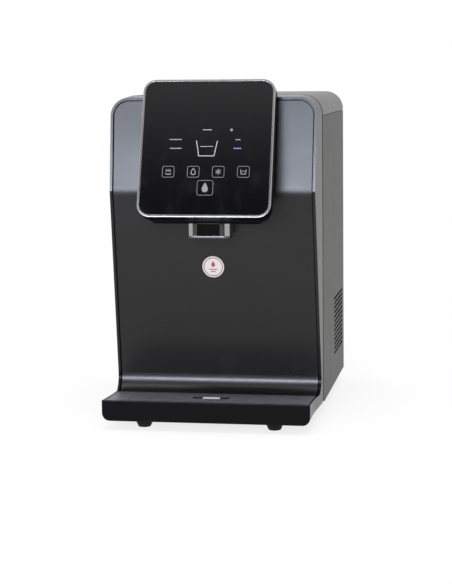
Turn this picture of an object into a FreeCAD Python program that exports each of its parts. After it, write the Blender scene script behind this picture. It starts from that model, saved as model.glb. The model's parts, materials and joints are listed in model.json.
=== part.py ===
"""Countertop water dispenser with a touch head, three filters, and hot and cold tanks.

Millimetres. X runs across the front, Y from the front to the rear, Z up.
The origin is on the floor under the middle of the footprint.
"""

import FreeCAD
import Part
import math
import os

# Case
BODY_WIDTH = 280.0
CASE_DEPTH = 266.0
CASE_HEIGHT = 419.7
CASE_CORNER = 26.0
CASE_WALL = 2.5
COVER_HEIGHT = 27.7
COVER_TONGUE = 7.0
PLINTH_HEIGHT = 5.2
SIDE_CORNER = 12.0
PANEL_FLANGE = 14.0
SIDE_VENT_COUNT = 13
SIDE_VENT_PITCH = 6.52
SIDE_VENT_LENGTH = 108.5
SIDE_VENT_HEIGHT = 3.2
SIDE_VENT_BASE_HEIGHT = 48.5
SIDE_VENT_FROM_REAR = 22.0
REAR_VENT_COUNT = 9
REAR_VENT_PITCH = 9.0
REAR_VENT_LENGTH = 120.0
REAR_VENT_HEIGHT = 4.0
REAR_VENT_BASE_HEIGHT = 108.0

# Front frame and front panel
TRAY_REACH = 121.5
DRAFT_REACH = 62.0
FRAME_DRAFT = 0.057
LIP_WIDTH = 3.8
LEDGE_WIDTH = 4.0
PANEL_INSET = 1.5
PANEL_WALL = 2.5
FACET_SLOPE = 0.169
BEND_REACH = 59.0
BEND_HEIGHT = 295.0
BEND_RADIUS = 14.0
PANEL_BEND_RADIUS = 45.0
COVE_RADIUS = 19.5
TRAY_BOX_HEIGHT = 27.3
TRAY_SLOPE = 0.055
TRAY_BOX_CORNER = 10.5
TRAY_BOX_WALL = 2.5
TRAY_BOX_FLOOR = 2.5
TRAY_BOX_EDGE = 1.2
TRAY_REAR_REACH = 38.0
LABEL_RADIUS = 14.5
LABEL_THICKNESS = 0.4
LABEL_HEIGHT = 193.5
LABEL_OFFSET = 1.9

# Drip tray
TRAY_WALL = 2.0
GRILLE_THICKNESS = 2.0
GRILLE_SLOT_LENGTH = 18.0
GRILLE_SLOT_WIDTH = 2.6
GRILLE_ROWS = 5
GRILLE_COLUMNS = 9
GRILLE_MARGIN = 7.0
FLOAT_WINDOW_WIDTH = 50.0
FLOAT_WINDOW_DEPTH = 16.0
FLOAT_WINDOW_CORNER = 6.0
FLOAT_WINDOW_REACH = 77.0
FLOAT_FLAG_WIDTH = 23.0
FLOAT_RAFT_WIDTH = 46.0
FLOAT_RAFT_DEPTH = 26.0
FLOAT_RAFT_HEIGHT = 6.0
FLOAT_PIN_RADIUS = 2.0
FLOAT_TRAVEL = 5.0

# Head
HEAD_TILT = 19.07
GLASS_WIDTH = 168.0
GLASS_HEIGHT = 178.6
GLASS_CORNER = 14.0
GLASS_THICKNESS = 3.0
RIM_WIDTH = 3.0
RIM_PROUD = 0.4
HEAD_THICKNESS = 20.8
HEAD_WALL = 4.0
HEAD_BACK_WALL = 2.2
HEAD_REACH = 91.2
HEAD_HEIGHT = 354.1
NECK_REAR_HALF = 76.0
NECK_FRONT_HALF = 75.6
NECK_TAPER_REACH = 52.0
NECK_BOTTOM = 255.4
NECK_TOP = 416.0
NECK_NOSE_REACH = 96.0
NECK_NOSE_RADIUS = 8.0
NECK_WALL = 2.5
BRACKET_THICKNESS = 2.0
BRACKET_REACH = 12.0
BRACKET_FOOT = 250.0
BRACKET_WINDOW_HALF = 24.0
BRACKET_WINDOW_HEIGHT = 68.0
BOARD_THICKNESS = 1.6
BOARD_SIZE = 148.0
BOARD_DROP = 11.0
BOARD_POST = 7.0
CABLE_SLOT_WIDTH = 50.0
CABLE_SLOT_HEIGHT = 16.0
CABLE_SLOT_RISE = 20.0
TOUCH_PAD_SIZE = 10.0
SHELL_CHAMFER = 2.0
RIM_CHAMFER = 0.6
KEY_ROW_DROP = 121.5
KEY_PITCH = 32.6
KEY_COUNT = 4
BIG_KEY_DROP = 142.7

# Spout
SPOUT_WIDTH = 57.6
SPOUT_DEPTH = 30.0
SPOUT_CORNER = 10.0
SPOUT_WALL = 1.5
SPOUT_REACH = 84.0
SPOUT_DROP = 19.3
SPOUT_LIP_HEIGHT = 2.4
SPOUT_LIP_PROUD = 0.5
SPOUT_FLANGE = 3.0
SPOUT_FLANGE_THICKNESS = 2.0
NOZZLE_RECESS = 5.0
NOZZLE_HEIGHT = 30.0
NOZZLE_SEAT = 4.0
NOZZLE_PITCH = 18.0
NOZZLE_BORE_RADIUS = 3.2
NOZZLE_TIP_RADIUS = 5.0
NOZZLE_TIP_LENGTH = 3.0
LAMP_RADIUS = 4.0
LAMP_LENGTH = 4.0

# Chassis, deck and feet
CHASSIS_INSET = 3.2
CHASSIS_CORNER = 8.0
CHASSIS_FLOOR = 3.0
CHASSIS_RIM = 26.0
FOOT_HEIGHT = 12.0
FOOT_TOP_RADIUS = 13.5
FOOT_BOTTOM_RADIUS = 8.0
FOOT_FROM_SIDE = 53.6
FRONT_FOOT_REACH = 92.0
REAR_FOOT_INSET = 40.0
TANK_BAY = 195.7
DECK_THICKNESS = 2.0
DECK_LEG = 14.0
SHEET = 2.0

# Cold tank
COLD_WIDTH_SHARE = 0.486
COLD_HEADROOM = 55.7
COLD_WALL = 1.5
FOAM_WALL = 12.0
COIL_TUBE_HEIGHT = 9.0
COIL_TUBE_THICKNESS = 4.0
COIL_TURNS = 3
COIL_PITCH = 30.0
COIL_GAP = 0.4
LID_THICKNESS = 8.0
STEM_RADIUS = 3.0
STEM_LENGTH = 62.0
STEM_FOOT_RADIUS = 6.0
STEM_FOOT_HEIGHT = 2.0
LEVEL_FLOAT_RADIUS = 12.0
LEVEL_FLOAT_HEIGHT = 16.0
LEVEL_FLOAT_TRAVEL = 18.0

# Hot tank
HOT_WIDTH_SHARE = 0.328
HOT_HEADROOM = 65.7
HOT_WALL = 1.5
JACKET_WALL = 9.0
HEATER_HEIGHT = 40.0
HEATER_THICKNESS = 4.0
THERMOSTAT_RADIUS = 9.0
THERMOSTAT_HEIGHT = 8.0

# Cooling set
CAN_RADIUS = 52.0
CAN_HEIGHT = 120.0
CAN_CROWN = 14.0
CAN_EDGE = 8.0
CAN_BASE_WIDTH = 132.0
CAN_BASE_DEPTH = 100.0
CAN_BASE_THICKNESS = 3.0
CAN_REAR_GAP = 55.0
CAN_LEFT_GAP = 32.0
GROMMET_RADIUS = 9.0
GROMMET_HEIGHT = 14.0
GROMMET_INSET = 12.0
FAN_SIZE = 92.0
FAN_DEPTH = 25.0
FAN_BORE_RADIUS = 43.0
FAN_BLADE_RADIUS = 41.0
FAN_HUB_RADIUS = 17.0
FAN_BLADES = 7
FAN_PIN_RADIUS = 2.0
FAN_PIN_FIT = 0.05
CONDENSER_DEPTH = 18.0
CONDENSER_LENGTH = 108.0
CONDENSER_HEIGHT = 84.0
CONDENSER_TUBES = 6
CONDENSER_TUBE_HEIGHT = 2.0
CONDENSER_HEADER_WIDTH = 12.0
CONDENSER_SIDE_GAP = 5.0
CONDENSER_FINS = 8
CONDENSER_FOOT = 16.0
CONDENSER_BRACKET_RISE = 4.0
FIN_THICKNESS = 0.6
DRIER_RADIUS = 9.0
DRIER_LENGTH = 80.0
DRIER_HEIGHT = 30.0

# Filters
FILTER_WIDTH_SHARE = 0.178
FILTER_LENGTH = 250.0
FILTER_GAP = 4.0
FILTER_HEADROOM = 8.0
FILTER_SPIGOT_RADIUS = 13.0
FILTER_SPIGOT_LENGTH = 16.0
FILTER_HANDLE_INSET = 8.0
FILTER_HANDLE_HEIGHT = 14.0
FILTER_HANDLE_WIDTH = 7.0
MANIFOLD_HEIGHT = 26.0
MANIFOLD_DEPTH = 40.0
MANIFOLD_FOOT = 5.0
SPIGOT_FIT = 0.08

# Valves, boards and connections
VALVE_BODY = 26.0
VALVE_DEPTH = 16.0
VALVE_COIL_RADIUS = 7.5
VALVE_COIL_LENGTH = 22.0
INLET_VALVE_FRONT = 25.0
HOSE_RADIUS = 3.2
HOSE_BEND = 10.0
HOSE_LANE = 5.0
HOSE_SIDES = 5
HOT_LINE_HEIGHT = 306.0
COLD_LINE_HEIGHT = 328.0
COLD_LANE_X = 30.0
OVERHEAD_GAP = 14.0
TANK_HOSE_REACH = 50.0
HOT_FEED_REACH = 30.0
HOT_FEED_STEP = 16.0
PIPE_RADIUS = 3.0
BOARD_LEFT_GAP = 14.0
BOARD_RIGHT_GAP = 23.0
BOARD_TRAY_HEIGHT = 175.0
BOARD_TRAY_REACH = 20.0
CONTROL_BOARD_MARGIN = 4.0
CONTROL_BOARD_HEIGHT = 130.0
STANDOFF = 4.4
TRANSFORMER_SIZE = 30.0
TRANSFORMER_CLEARANCE = 4.5
RELAY_SIZE = 16.0
PLUG_WIDTH = 26.0
PLUG_DEPTH = 6.0
PLUG_HEIGHT = 8.0
PORT_PITCH = 30.0
RECESS_WIDTH = 104.0
RECESS_HEIGHT = 46.0
RECESS_DEPTH = 21.0
RECESS_FROM_LEFT = 17.0
PORT_RADIUS = 8.0
PORT_REACH = 15.0
PORT_BARREL = 10.0
NUT_SIZE = 20.0
INLET_BORE_RADIUS = 3.2
INLET_BORE_DEPTH = 14.0
CAP_RADIUS = 10.0
CAP_LENGTH = 9.0
DRAIN_RADIUS = 7.0
DRAIN_STUB = 8.0
SOCKET_WIDTH = 48.0
SOCKET_HEIGHT = 28.0
SOCKET_MOUTH_WIDTH = 25.0
SOCKET_MOUTH_HEIGHT = 16.8
SOCKET_DEPTH = 22.0
SOCKET_MOUTH_DEPTH = 16.0
SOCKET_FROM_RIGHT = 56.0
SOCKET_CENTRE_HEIGHT = 40.0
SWITCH_WIDTH = 30.0
SWITCH_HEIGHT = 14.0
SWITCH_DEPTH = 18.0
SWITCH_PITCH = 34.0
SWITCH_BEZEL = 3.0
SWITCH_WALL = 1.5
SWITCH_MOUTH_DEPTH = 9.0
ROCKER_THROW = 14.0
ROCKER_PIVOT_DEPTH = 4.0
ROCKER_PIN_RADIUS = 1.8
ROCKER_HEIGHT = 3.5
SCREW_HEAD_SIZE = 7.0
SCREW_HEAD_HEIGHT = 1.8

# Clearances
SEAM_GAP = 0.4
FIT = 0.3
CLOSE_FIT = 0.1
TRAY_FIT = 1.0

# Places worked out from the sizes above
HALF = BODY_WIDTH / 2
COLD_RADIUS = HALF * COLD_WIDTH_SHARE
HOT_RADIUS = HALF * HOT_WIDTH_SHARE
FILTER_RADIUS = HALF * FILTER_WIDTH_SHARE
COLD_HEIGHT = TANK_BAY - COLD_HEADROOM
HOT_HEIGHT = TANK_BAY - HOT_HEADROOM
FOOT_SPACING = BODY_WIDTH - 2 * FOOT_FROM_SIDE
SOCKET_CENTRE_X = HALF - SOCKET_FROM_RIGHT
SEAM_Y = (TRAY_REACH - CASE_DEPTH - SCREW_HEAD_HEIGHT) / 2
REAR_Y = SEAM_Y + CASE_DEPTH
BASE = FOOT_HEIGHT
CASE_TOP = BASE + CASE_HEIGHT
COVER_BOTTOM = CASE_TOP - COVER_HEIGHT
SIDE_BOTTOM = BASE + PLINTH_HEIGHT
TRAY_TOP = BASE + TRAY_BOX_HEIGHT
BEND_Z = BASE + BEND_HEIGHT
INNER_HALF = HALF - CASE_WALL
BOX_HALF = HALF - FRAME_DRAFT * DRAFT_REACH
FLOOR_TOP = BASE + CHASSIS_FLOOR
DECK_TOP = CASE_TOP - TANK_BAY
NECK_FLOOR = BASE + NECK_BOTTOM
PANEL_REAR_Y = REAR_Y - CASE_WALL
FOAM_RADIUS = COLD_RADIUS + COIL_TUBE_THICKNESS + 2 * COIL_GAP + FOAM_WALL
JACKET_RADIUS = HOT_RADIUS + HEATER_THICKNESS + JACKET_WALL
COLD_X = -(INNER_HALF - FOAM_RADIUS - 1.5)
COLD_Y = PANEL_REAR_Y - FOAM_RADIUS - 1.5
HOT_X = INNER_HALF - JACKET_RADIUS - 1.5
TANK_SPACING = FOAM_RADIUS + JACKET_RADIUS + 2.0
HOT_Y = COLD_Y - math.sqrt(max(TANK_SPACING**2 - (HOT_X - COLD_X) ** 2, 1.0))
FILTER_Y = SEAM_Y + FILTER_RADIUS + 6.0
FILTER_TOP = CASE_TOP - CASE_WALL - FILTER_HEADROOM
FILTER_BOTTOM = FILTER_TOP - FILTER_LENGTH
MANIFOLD_TOP = FILTER_BOTTOM - FIT

V = FreeCAD.Vector
RIGHT = V(1, 0, 0)
REARWARD = V(0, 1, 0)
UP = V(0, 0, 1)


# Shape helpers


def front_view(y):
    """Plane of constant y, with u across and v up."""
    return lambda u, v: V(u, y, v)


def side_view(x):
    """Plane of constant x, with u ahead of the front seam and v up."""
    return lambda u, v: V(x, SEAM_Y - u, v)


def end_view(x):
    """Plane of constant x, with u along Y and v up."""
    return lambda u, v: V(x, u, v)


def top_view(z):
    """Plane of constant z."""
    return lambda u, v: V(u, v, z)


def rectangle(u0, u1, v0, v1, radius=0.0):
    return [(u0, v0, radius), (u1, v0, radius), (u1, v1, radius), (u0, v1, radius)]


def outline(corners, place):
    """Closed wire through the corners (u, v, radius), each rounded by its own radius."""
    spans = []
    for index, (u, v, radius) in enumerate(corners):
        here = V(u, v, 0)
        before = V(corners[index - 1][0], corners[index - 1][1], 0)
        after_corner = corners[(index + 1) % len(corners)]
        after = V(after_corner[0], after_corner[1], 0)
        back = (before - here).normalize()
        ahead = (after - here).normalize()
        if radius <= 0:
            spans.append([here])
            continue
        half_angle = back.getAngle(ahead) / 2
        reach = radius / math.tan(half_angle)
        inward = (back + ahead).normalize()
        middle = here + inward * (radius / math.sin(half_angle) - radius)
        spans.append([here + back * reach, middle, here + ahead * reach])
    edges = []
    for index, span in enumerate(spans):
        if len(span) == 3:
            edges.append(Part.Arc(*[place(p.x, p.y) for p in span]).toShape())
        end = span[-1]
        start = spans[(index + 1) % len(spans)][0]
        if (start - end).Length > 1e-6:
            edges.append(Part.LineSegment(place(end.x, end.y), place(start.x, start.y)).toShape())
    return Part.Wire(edges)


def prism(corners, place, travel):
    return Part.Face(outline(corners, place)).extrude(travel)


def block(x0, x1, y0, y1, z0, z1):
    return Part.makeBox(x1 - x0, y1 - y0, z1 - z0, V(x0, y0, z0))


def rod(radius, start, end):
    return Part.makeCylinder(radius, (end - start).Length, start, end - start)


def tube(outer, inner, start, end):
    return rod(outer, start, end).cut(rod(inner, start, end))


def turned(profile, centre, axis=UP):
    """Solid of revolution from (radius, height) points about an axis through the centre."""
    points = [V(r, 0, h) for r, h in profile]
    points.append(points[0])
    solid = Part.Face(Part.makePolygon(points)).revolve(V(0, 0, 0), UP, 360)
    solid.Placement = FreeCAD.Placement(centre, FreeCAD.Rotation(UP, axis))
    return solid


def tangent_arc(start, meeting, end):
    """Arc that leaves start towards the meeting point and arrives at end from it."""
    chord_middle = (start + end) * 0.5
    rise = meeting - chord_middle
    half_chord = (end - start).Length / 2
    radius = (meeting - start).Length * half_chord / rise.Length
    sagitta = radius - math.sqrt(radius**2 - half_chord**2)
    middle = chord_middle + rise.normalize() * sagitta
    return Part.Arc(start, middle, end).toShape()


def swept(edges, section):
    """Bar of the given closed section along a smooth chain of edges."""
    return Part.Wire(edges).makePipeShell([section], True, False)


def ring_section(radius, centre, heading):
    """Closed section of a hose, square to its heading."""
    turn = FreeCAD.Rotation(UP, heading)
    steps = [2 * math.pi * k / HOSE_SIDES for k in range(HOSE_SIDES + 1)]
    return Part.makePolygon([centre + turn.multVec(V(radius * math.cos(t), radius * math.sin(t), 0)) for t in steps])


def pipe(points, radius=HOSE_RADIUS, bend=HOSE_BEND):
    """Hose or pipe along straight runs joined by tangent arcs of one bend radius."""
    edges = []
    last = points[0]
    for before, here, after in zip(points, points[1:], points[2:]):
        back = (before - here).normalize()
        ahead = (after - here).normalize()
        reach = bend / math.tan(back.getAngle(ahead) / 2)
        start = here + back * reach
        end = here + ahead * reach
        edges.append(Part.LineSegment(last, start).toShape())
        edges.append(tangent_arc(start, here, end))
        last = end
    edges.append(Part.LineSegment(last, points[-1]).toShape())
    return swept(edges, ring_section(radius, points[0], points[1] - points[0]))


def hexagon(size, centre, axis):
    """Nut or screw head: a six-sided prism from the centre along the axis."""
    radius = size / math.sqrt(3)
    points = [V(radius * math.cos(k * math.pi / 3), radius * math.sin(k * math.pi / 3), 0) for k in range(7)]
    solid = Part.Face(Part.makePolygon(points)).extrude(V(0, 0, axis.Length))
    solid.Placement = FreeCAD.Placement(centre, FreeCAD.Rotation(UP, axis))
    return solid


def joined(shapes):
    first, *others = shapes
    return first.fuse(others).removeSplitter() if others else first


def group(shapes):
    """Separate solids that share one node."""
    return Part.makeCompound(shapes)


def mirrored(shape):
    """The same shape on the other side of the middle plane."""
    return shape.mirror(V(0, 0, 0), RIGHT)


# Casing


def drafted_section(reach, inset, bottom, bottom_radius):
    """Front view outline of the frame at one reach ahead of the seam."""
    draft = FRAME_DRAFT * min(reach, DRAFT_REACH)
    half = HALF - draft - inset
    top_radius = CASE_CORNER - draft - inset
    corners = [
        (-half, bottom, bottom_radius),
        (half, bottom, bottom_radius),
        (half, CASE_TOP - draft - inset, top_radius),
        (-half, CASE_TOP - draft - inset, top_radius),
    ]
    return outline(corners, front_view(SEAM_Y - reach))


def frame_envelope(inset, bottom, bottom_radius, start_reach=0.0):
    """Body inside the frame's outer skin, narrowing forward and then straight."""
    rear = drafted_section(start_reach, inset, bottom, bottom_radius)
    front = drafted_section(DRAFT_REACH, inset, bottom, bottom_radius)
    narrowing = Part.makeLoft([rear, front], True, True)
    straight = Part.Face(front).extrude(V(0, DRAFT_REACH - TRAY_REACH - 1, 0))
    return narrowing.fuse(straight)


def facet_reach(z, inset=0.0):
    """Reach ahead of the seam of the two facets, or of a surface that far behind them."""
    bend = BEND_REACH - inset * math.hypot(1, FACET_SLOPE)
    return bend - FACET_SLOPE * abs(z - BEND_Z)


def lid_height(reach, drop=0.0):
    """Height of the tray box's sloping top, or of a plane that far below it."""
    return TRAY_TOP - drop * math.hypot(1, TRAY_SLOPE) - TRAY_SLOPE * (TRAY_REACH - reach)


def cove_corner(inset):
    """Reach and height at which the lower facet would meet the tray box's top."""
    reach = facet_reach(lid_height(0, inset), inset) / (1 - FACET_SLOPE * TRAY_SLOPE)
    return reach, lid_height(reach, inset)


def front_silhouette(inset, rear_reach=-1.0):
    """Side view of everything behind the front surface, moved back by the inset."""
    over = CASE_TOP + 5
    bend = PANEL_BEND_RADIUS - inset if inset else BEND_RADIUS
    return [
        (rear_reach, BASE - 1, 0),
        (TRAY_REACH, BASE - 1, 0),
        (TRAY_REACH, lid_height(TRAY_REACH, inset), 0 if inset else TRAY_BOX_EDGE),
        (*cove_corner(inset), COVE_RADIUS + inset),
        (facet_reach(BEND_Z, inset), BEND_Z, bend),
        (facet_reach(over, inset), over, 0),
        (rear_reach, over, 0),
    ]


def behind_front(inset):
    return prism(front_silhouette(inset), side_view(-HALF - 1), RIGHT * (BODY_WIDTH + 2))


def head_pocket(gap):
    """Space that the neck takes up in the frame and the panel."""
    half = NECK_REAR_HALF + gap
    corners = rectangle(-half, half, NECK_FLOOR - gap, BASE + NECK_TOP + gap, 10)
    return prism(corners, front_view(SEAM_Y + 1), V(0, -TRAY_REACH, 0))


def tray_space():
    """Everything ahead of the tray's rear edge, up to the top of the tray box."""
    front = SEAM_Y - TRAY_REACH - 1
    return block(-HALF, HALF, front, SEAM_Y - TRAY_REAR_REACH, 0, TRAY_TOP)


def front_frame():
    """Side bands, top band and the box for the drip tray, in one moulding."""
    skin = frame_envelope(0, BASE, TRAY_BOX_CORNER).common(behind_front(0))
    foot_rest = lid_height(TRAY_REAR_REACH, PANEL_INSET + PANEL_WALL + FIT)
    opening = frame_envelope(LIP_WIDTH + LEDGE_WIDTH, foot_rest, 0, -1).cut(tray_space())
    rebate = frame_envelope(LIP_WIDTH, foot_rest, 0, -1)
    rebate = rebate.cut([behind_front(PANEL_INSET + PANEL_WALL), tray_space()])
    well_half = BOX_HALF - TRAY_BOX_WALL
    well_floor = BASE + TRAY_BOX_FLOOR
    well_corner = TRAY_BOX_CORNER - TRAY_BOX_WALL
    well = prism(
        [
            (-well_half, well_floor, well_corner),
            (well_half, well_floor, well_corner),
            (well_half, TRAY_TOP + 1, 0),
            (-well_half, TRAY_TOP + 1, 0),
        ],
        front_view(SEAM_Y - TRAY_REAR_REACH),
        V(0, TRAY_REAR_REACH - TRAY_REACH + TRAY_BOX_WALL, 0),
    )
    hollow = prism(
        rectangle(-well_half, well_half, well_floor, foot_rest - TRAY_BOX_FLOOR, 3),
        front_view(SEAM_Y + 1),
        V(0, TRAY_BOX_FLOOR - TRAY_REAR_REACH - 1, 0),
    )
    frame = skin.cut([opening, rebate, well, hollow, head_pocket(FIT)])
    return frame.removeSplitter()


def front_panel():
    """Skin of two facets that ends in a cove and a short foot under the tray's rear edge."""
    sheet = behind_front(PANEL_INSET).cut(behind_front(PANEL_INSET + PANEL_WALL))
    border = frame_envelope(LIP_WIDTH + SEAM_GAP, BASE, 0, -1)
    panel = sheet.common(border).cut([tray_space(), head_pocket(FIT)])
    return panel.removeSplitter()


def label_disc():
    """Thin round label on the lower facet."""
    z = BASE + LABEL_HEIGHT
    slope = math.atan(FACET_SLOPE)
    outward = V(0, -math.cos(slope), -math.sin(slope))
    seat = V(-LABEL_OFFSET, SEAM_Y - facet_reach(z, PANEL_INSET), z)
    return rod(LABEL_RADIUS, seat, seat + outward * LABEL_THICKNESS)


def side_panel():
    """Right-hand panel with its vent slots and a flange that the rear panel screws to."""
    sheet = [
        (SEAM_Y + SEAM_GAP, SIDE_BOTTOM, SIDE_CORNER),
        (REAR_Y, SIDE_BOTTOM, 0),
        (REAR_Y, COVER_BOTTOM - SEAM_GAP, 0),
        (SEAM_Y + SEAM_GAP, COVER_BOTTOM - SEAM_GAP, 0),
    ]
    skin = prism(sheet, end_view(HALF - CASE_WALL), RIGHT * CASE_WALL)
    flange = block(
        INNER_HALF - PANEL_FLANGE,
        INNER_HALF,
        PANEL_REAR_Y - CASE_WALL,
        PANEL_REAR_Y,
        BASE + CHASSIS_RIM + FIT,
        COVER_BOTTOM - COVER_TONGUE - 2 * FIT,
    )
    vent_end = REAR_Y - SIDE_VENT_FROM_REAR
    vents = []
    for index in range(SIDE_VENT_COUNT):
        z = BASE + SIDE_VENT_BASE_HEIGHT + index * SIDE_VENT_PITCH
        slot = block(
            INNER_HALF - 1,
            HALF + 1,
            vent_end - SIDE_VENT_LENGTH,
            vent_end,
            z - SIDE_VENT_HEIGHT / 2,
            z + SIDE_VENT_HEIGHT / 2,
        )
        vents.append(slot)
    return joined([skin, flange]).cut(vents)


def rear_panel():
    """Rear sheet with its vent slots, the recess for the water ports and the power cut-outs."""
    half = INNER_HALF - CLOSE_FIT
    bottom = BASE + CHASSIS_RIM + FIT
    sheet = block(-half, half, PANEL_REAR_Y, REAR_Y, bottom, COVER_BOTTOM - SEAM_GAP)
    x0, x1, z0, z1 = recess_bounds()
    box = block(
        x0 - CASE_WALL,
        x1 + CASE_WALL,
        REAR_Y - RECESS_DEPTH - CASE_WALL,
        REAR_Y,
        z0 - CASE_WALL,
        z1 + CASE_WALL,
    )
    cuts = [block(x0, x1, REAR_Y - RECESS_DEPTH, REAR_Y + 1, z0, z1)]
    for x in port_places():
        start = V(x, REAR_Y - RECESS_DEPTH - CASE_WALL - 1, port_height())
        cuts.append(rod(DRAIN_RADIUS + CLOSE_FIT, start, start + REARWARD * (CASE_WALL + 2)))
    for index in range(REAR_VENT_COUNT):
        z = BASE + REAR_VENT_BASE_HEIGHT + index * REAR_VENT_PITCH
        slot = rectangle(
            COLD_X - REAR_VENT_LENGTH / 2,
            COLD_X + REAR_VENT_LENGTH / 2,
            z - REAR_VENT_HEIGHT / 2,
            z + REAR_VENT_HEIGHT / 2,
        )
        cuts.append(prism(slot, front_view(PANEL_REAR_Y - 1), REARWARD * (CASE_WALL + 2)))
    socket_width = SOCKET_WIDTH - 2 * SWITCH_BEZEL
    socket_height = SOCKET_HEIGHT - 2 * SWITCH_BEZEL
    cuts.append(cut_out(socket_width, socket_height, BASE + SOCKET_CENTRE_HEIGHT))
    for z in switch_heights():
        cuts.append(cut_out(SWITCH_WIDTH - 2 * SWITCH_BEZEL, SWITCH_HEIGHT, z))
    return joined([sheet, box]).cut(cuts)


def cut_out(width, height, z):
    """Rectangular hole through the rear panel for something that snaps in."""
    half_width = width / 2 + CLOSE_FIT
    half_height = height / 2 + CLOSE_FIT
    return block(
        SOCKET_CENTRE_X - half_width,
        SOCKET_CENTRE_X + half_width,
        PANEL_REAR_Y - 1,
        REAR_Y + 1,
        z - half_height,
        z + half_height,
    )


def top_cover():
    """Lift-off cover with a tongue that drops inside each side panel."""
    rounded = [
        (-HALF, COVER_BOTTOM, 0),
        (HALF, COVER_BOTTOM, 0),
        (HALF, CASE_TOP, CASE_CORNER),
        (-HALF, CASE_TOP, CASE_CORNER),
    ]
    top = CASE_TOP - CASE_WALL
    hollow = [
        (-INNER_HALF, COVER_BOTTOM - 1, 0),
        (INNER_HALF, COVER_BOTTOM - 1, 0),
        (INNER_HALF, top, CASE_CORNER - CASE_WALL),
        (-INNER_HALF, top, CASE_CORNER - CASE_WALL),
    ]
    start = SEAM_Y + SEAM_GAP
    shell = prism(rounded, front_view(start), REARWARD * (REAR_Y - start))
    shell = shell.cut(prism(hollow, front_view(start - 1), REARWARD * (PANEL_REAR_Y - start + 1)))
    tongue = block(
        INNER_HALF - FIT - CASE_WALL,
        INNER_HALF - FIT,
        start + 2 * CASE_WALL,
        PANEL_REAR_Y - 2 * CASE_WALL,
        COVER_BOTTOM - COVER_TONGUE,
        COVER_BOTTOM + CASE_WALL,
    )
    ledge = block(
        INNER_HALF - FIT - CASE_WALL,
        INNER_HALF,
        start + 2 * CASE_WALL,
        PANEL_REAR_Y - 2 * CASE_WALL,
        COVER_BOTTOM + SEAM_GAP,
        COVER_BOTTOM + CASE_WALL,
    )
    rail = joined([tongue, ledge])
    return joined([shell, rail, mirrored(rail)])


def casing():
    right = side_panel()
    return {
        "front_frame": front_frame(),
        "front_panel": front_panel(),
        "label_disc": label_disc(),
        "right_side_panel": right,
        "left_side_panel": mirrored(right),
        "rear_panel": rear_panel(),
        "top_cover": top_cover(),
        "rear_panel_screws": rear_screws(),
    }


def rear_screws():
    """Hexagon-head screws that hold the rear panel to the side flanges."""
    screws = []
    x = INNER_HALF - PANEL_FLANGE / 2
    low = BASE + CHASSIS_RIM + 12
    high = COVER_BOTTOM - 16
    for side in (-1, 1):
        for z in (low, (low + high) / 2, high):
            screws.append(hexagon(SCREW_HEAD_SIZE, V(side * x, REAR_Y, z), REARWARD * SCREW_HEAD_HEIGHT))
    return group(screws)


# Chassis and what stands on it


def chassis_section(inset, top):
    half = HALF - CHASSIS_INSET - inset
    bottom = BASE + (CHASSIS_FLOOR if inset else 0)
    radius = CHASSIS_CORNER - inset
    return [(-half, bottom, radius), (half, bottom, radius), (half, top, 0), (-half, top, 0)]


def base_chassis():
    """Moulded pan with a rim."""
    rim = BASE + CHASSIS_RIM
    start = SEAM_Y
    length = PANEL_REAR_Y + CASE_WALL - start
    pan = prism(chassis_section(0, rim), front_view(start), REARWARD * length)
    inner_length = length - 2 * CASE_WALL
    inner = prism(chassis_section(CASE_WALL, rim + 1), front_view(start + CASE_WALL), REARWARD * inner_length)
    return pan.cut(inner)


def feet():
    """Four tapered rubber feet."""
    cones = []
    for y in (SEAM_Y - FRONT_FOOT_REACH, REAR_Y - REAR_FOOT_INSET):
        for side in (-1, 1):
            centre = V(side * FOOT_SPACING / 2, y, 0)
            cones.append(Part.makeCone(FOOT_BOTTOM_RADIUS, FOOT_TOP_RADIUS, FOOT_HEIGHT, centre, UP))
    return group(cones)


def tank_deck():
    """Sheet shelf for the tanks on four folded legs that stand on the chassis floor."""
    half = INNER_HALF - 1.5
    front = FILTER_Y + FILTER_RADIUS + 2
    rear = PANEL_REAR_Y - CASE_WALL - FIT
    underside = DECK_TOP - DECK_THICKNESS
    hot_front = min(HOT_Y - JACKET_RADIUS - 1, front)
    shelf = block(-half, half, front, rear, underside, DECK_TOP)
    wing = block(HOT_X - JACKET_RADIUS + DECK_LEG, half, hot_front, rear, underside, DECK_TOP)
    pieces = [shelf, wing]
    leg_half = HALF - CHASSIS_INSET - CHASSIS_CORNER
    recess_front = recess_floor_y() - CASE_WALL - 1
    corners = ((-1, front, 1), (-1, recess_front, -1), (1, hot_front, 1), (1, rear, -1))
    for side, y, inward in corners:
        y0, y1 = sorted((y, y + inward * DECK_LEG))
        web0, web1 = sorted((y, y + inward * SHEET))
        x0, x1 = sorted((side * leg_half, side * (leg_half - SHEET)))
        wide0, wide1 = sorted((side * leg_half, side * (leg_half - DECK_LEG)))
        pieces.append(block(x0, x1, y0, y1, FLOOR_TOP, underside))
        pieces.append(block(wide0, wide1, web0, web1, FLOOR_TOP, underside))
    return joined(pieces)


# Compressor and condenser


def can_centre():
    return V(-(INNER_HALF - CAN_LEFT_GAP - CAN_BASE_WIDTH / 2), PANEL_REAR_Y - CAN_REAR_GAP - CAN_BASE_DEPTH / 2, 0)


def grommet_places():
    centre = can_centre()
    reach_x = CAN_BASE_WIDTH / 2 - GROMMET_INSET
    reach_y = CAN_BASE_DEPTH / 2 - GROMMET_INSET
    return [(centre.x + sx * reach_x, centre.y + sy * reach_y) for sx in (-1, 1) for sy in (-1, 1)]


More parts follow.
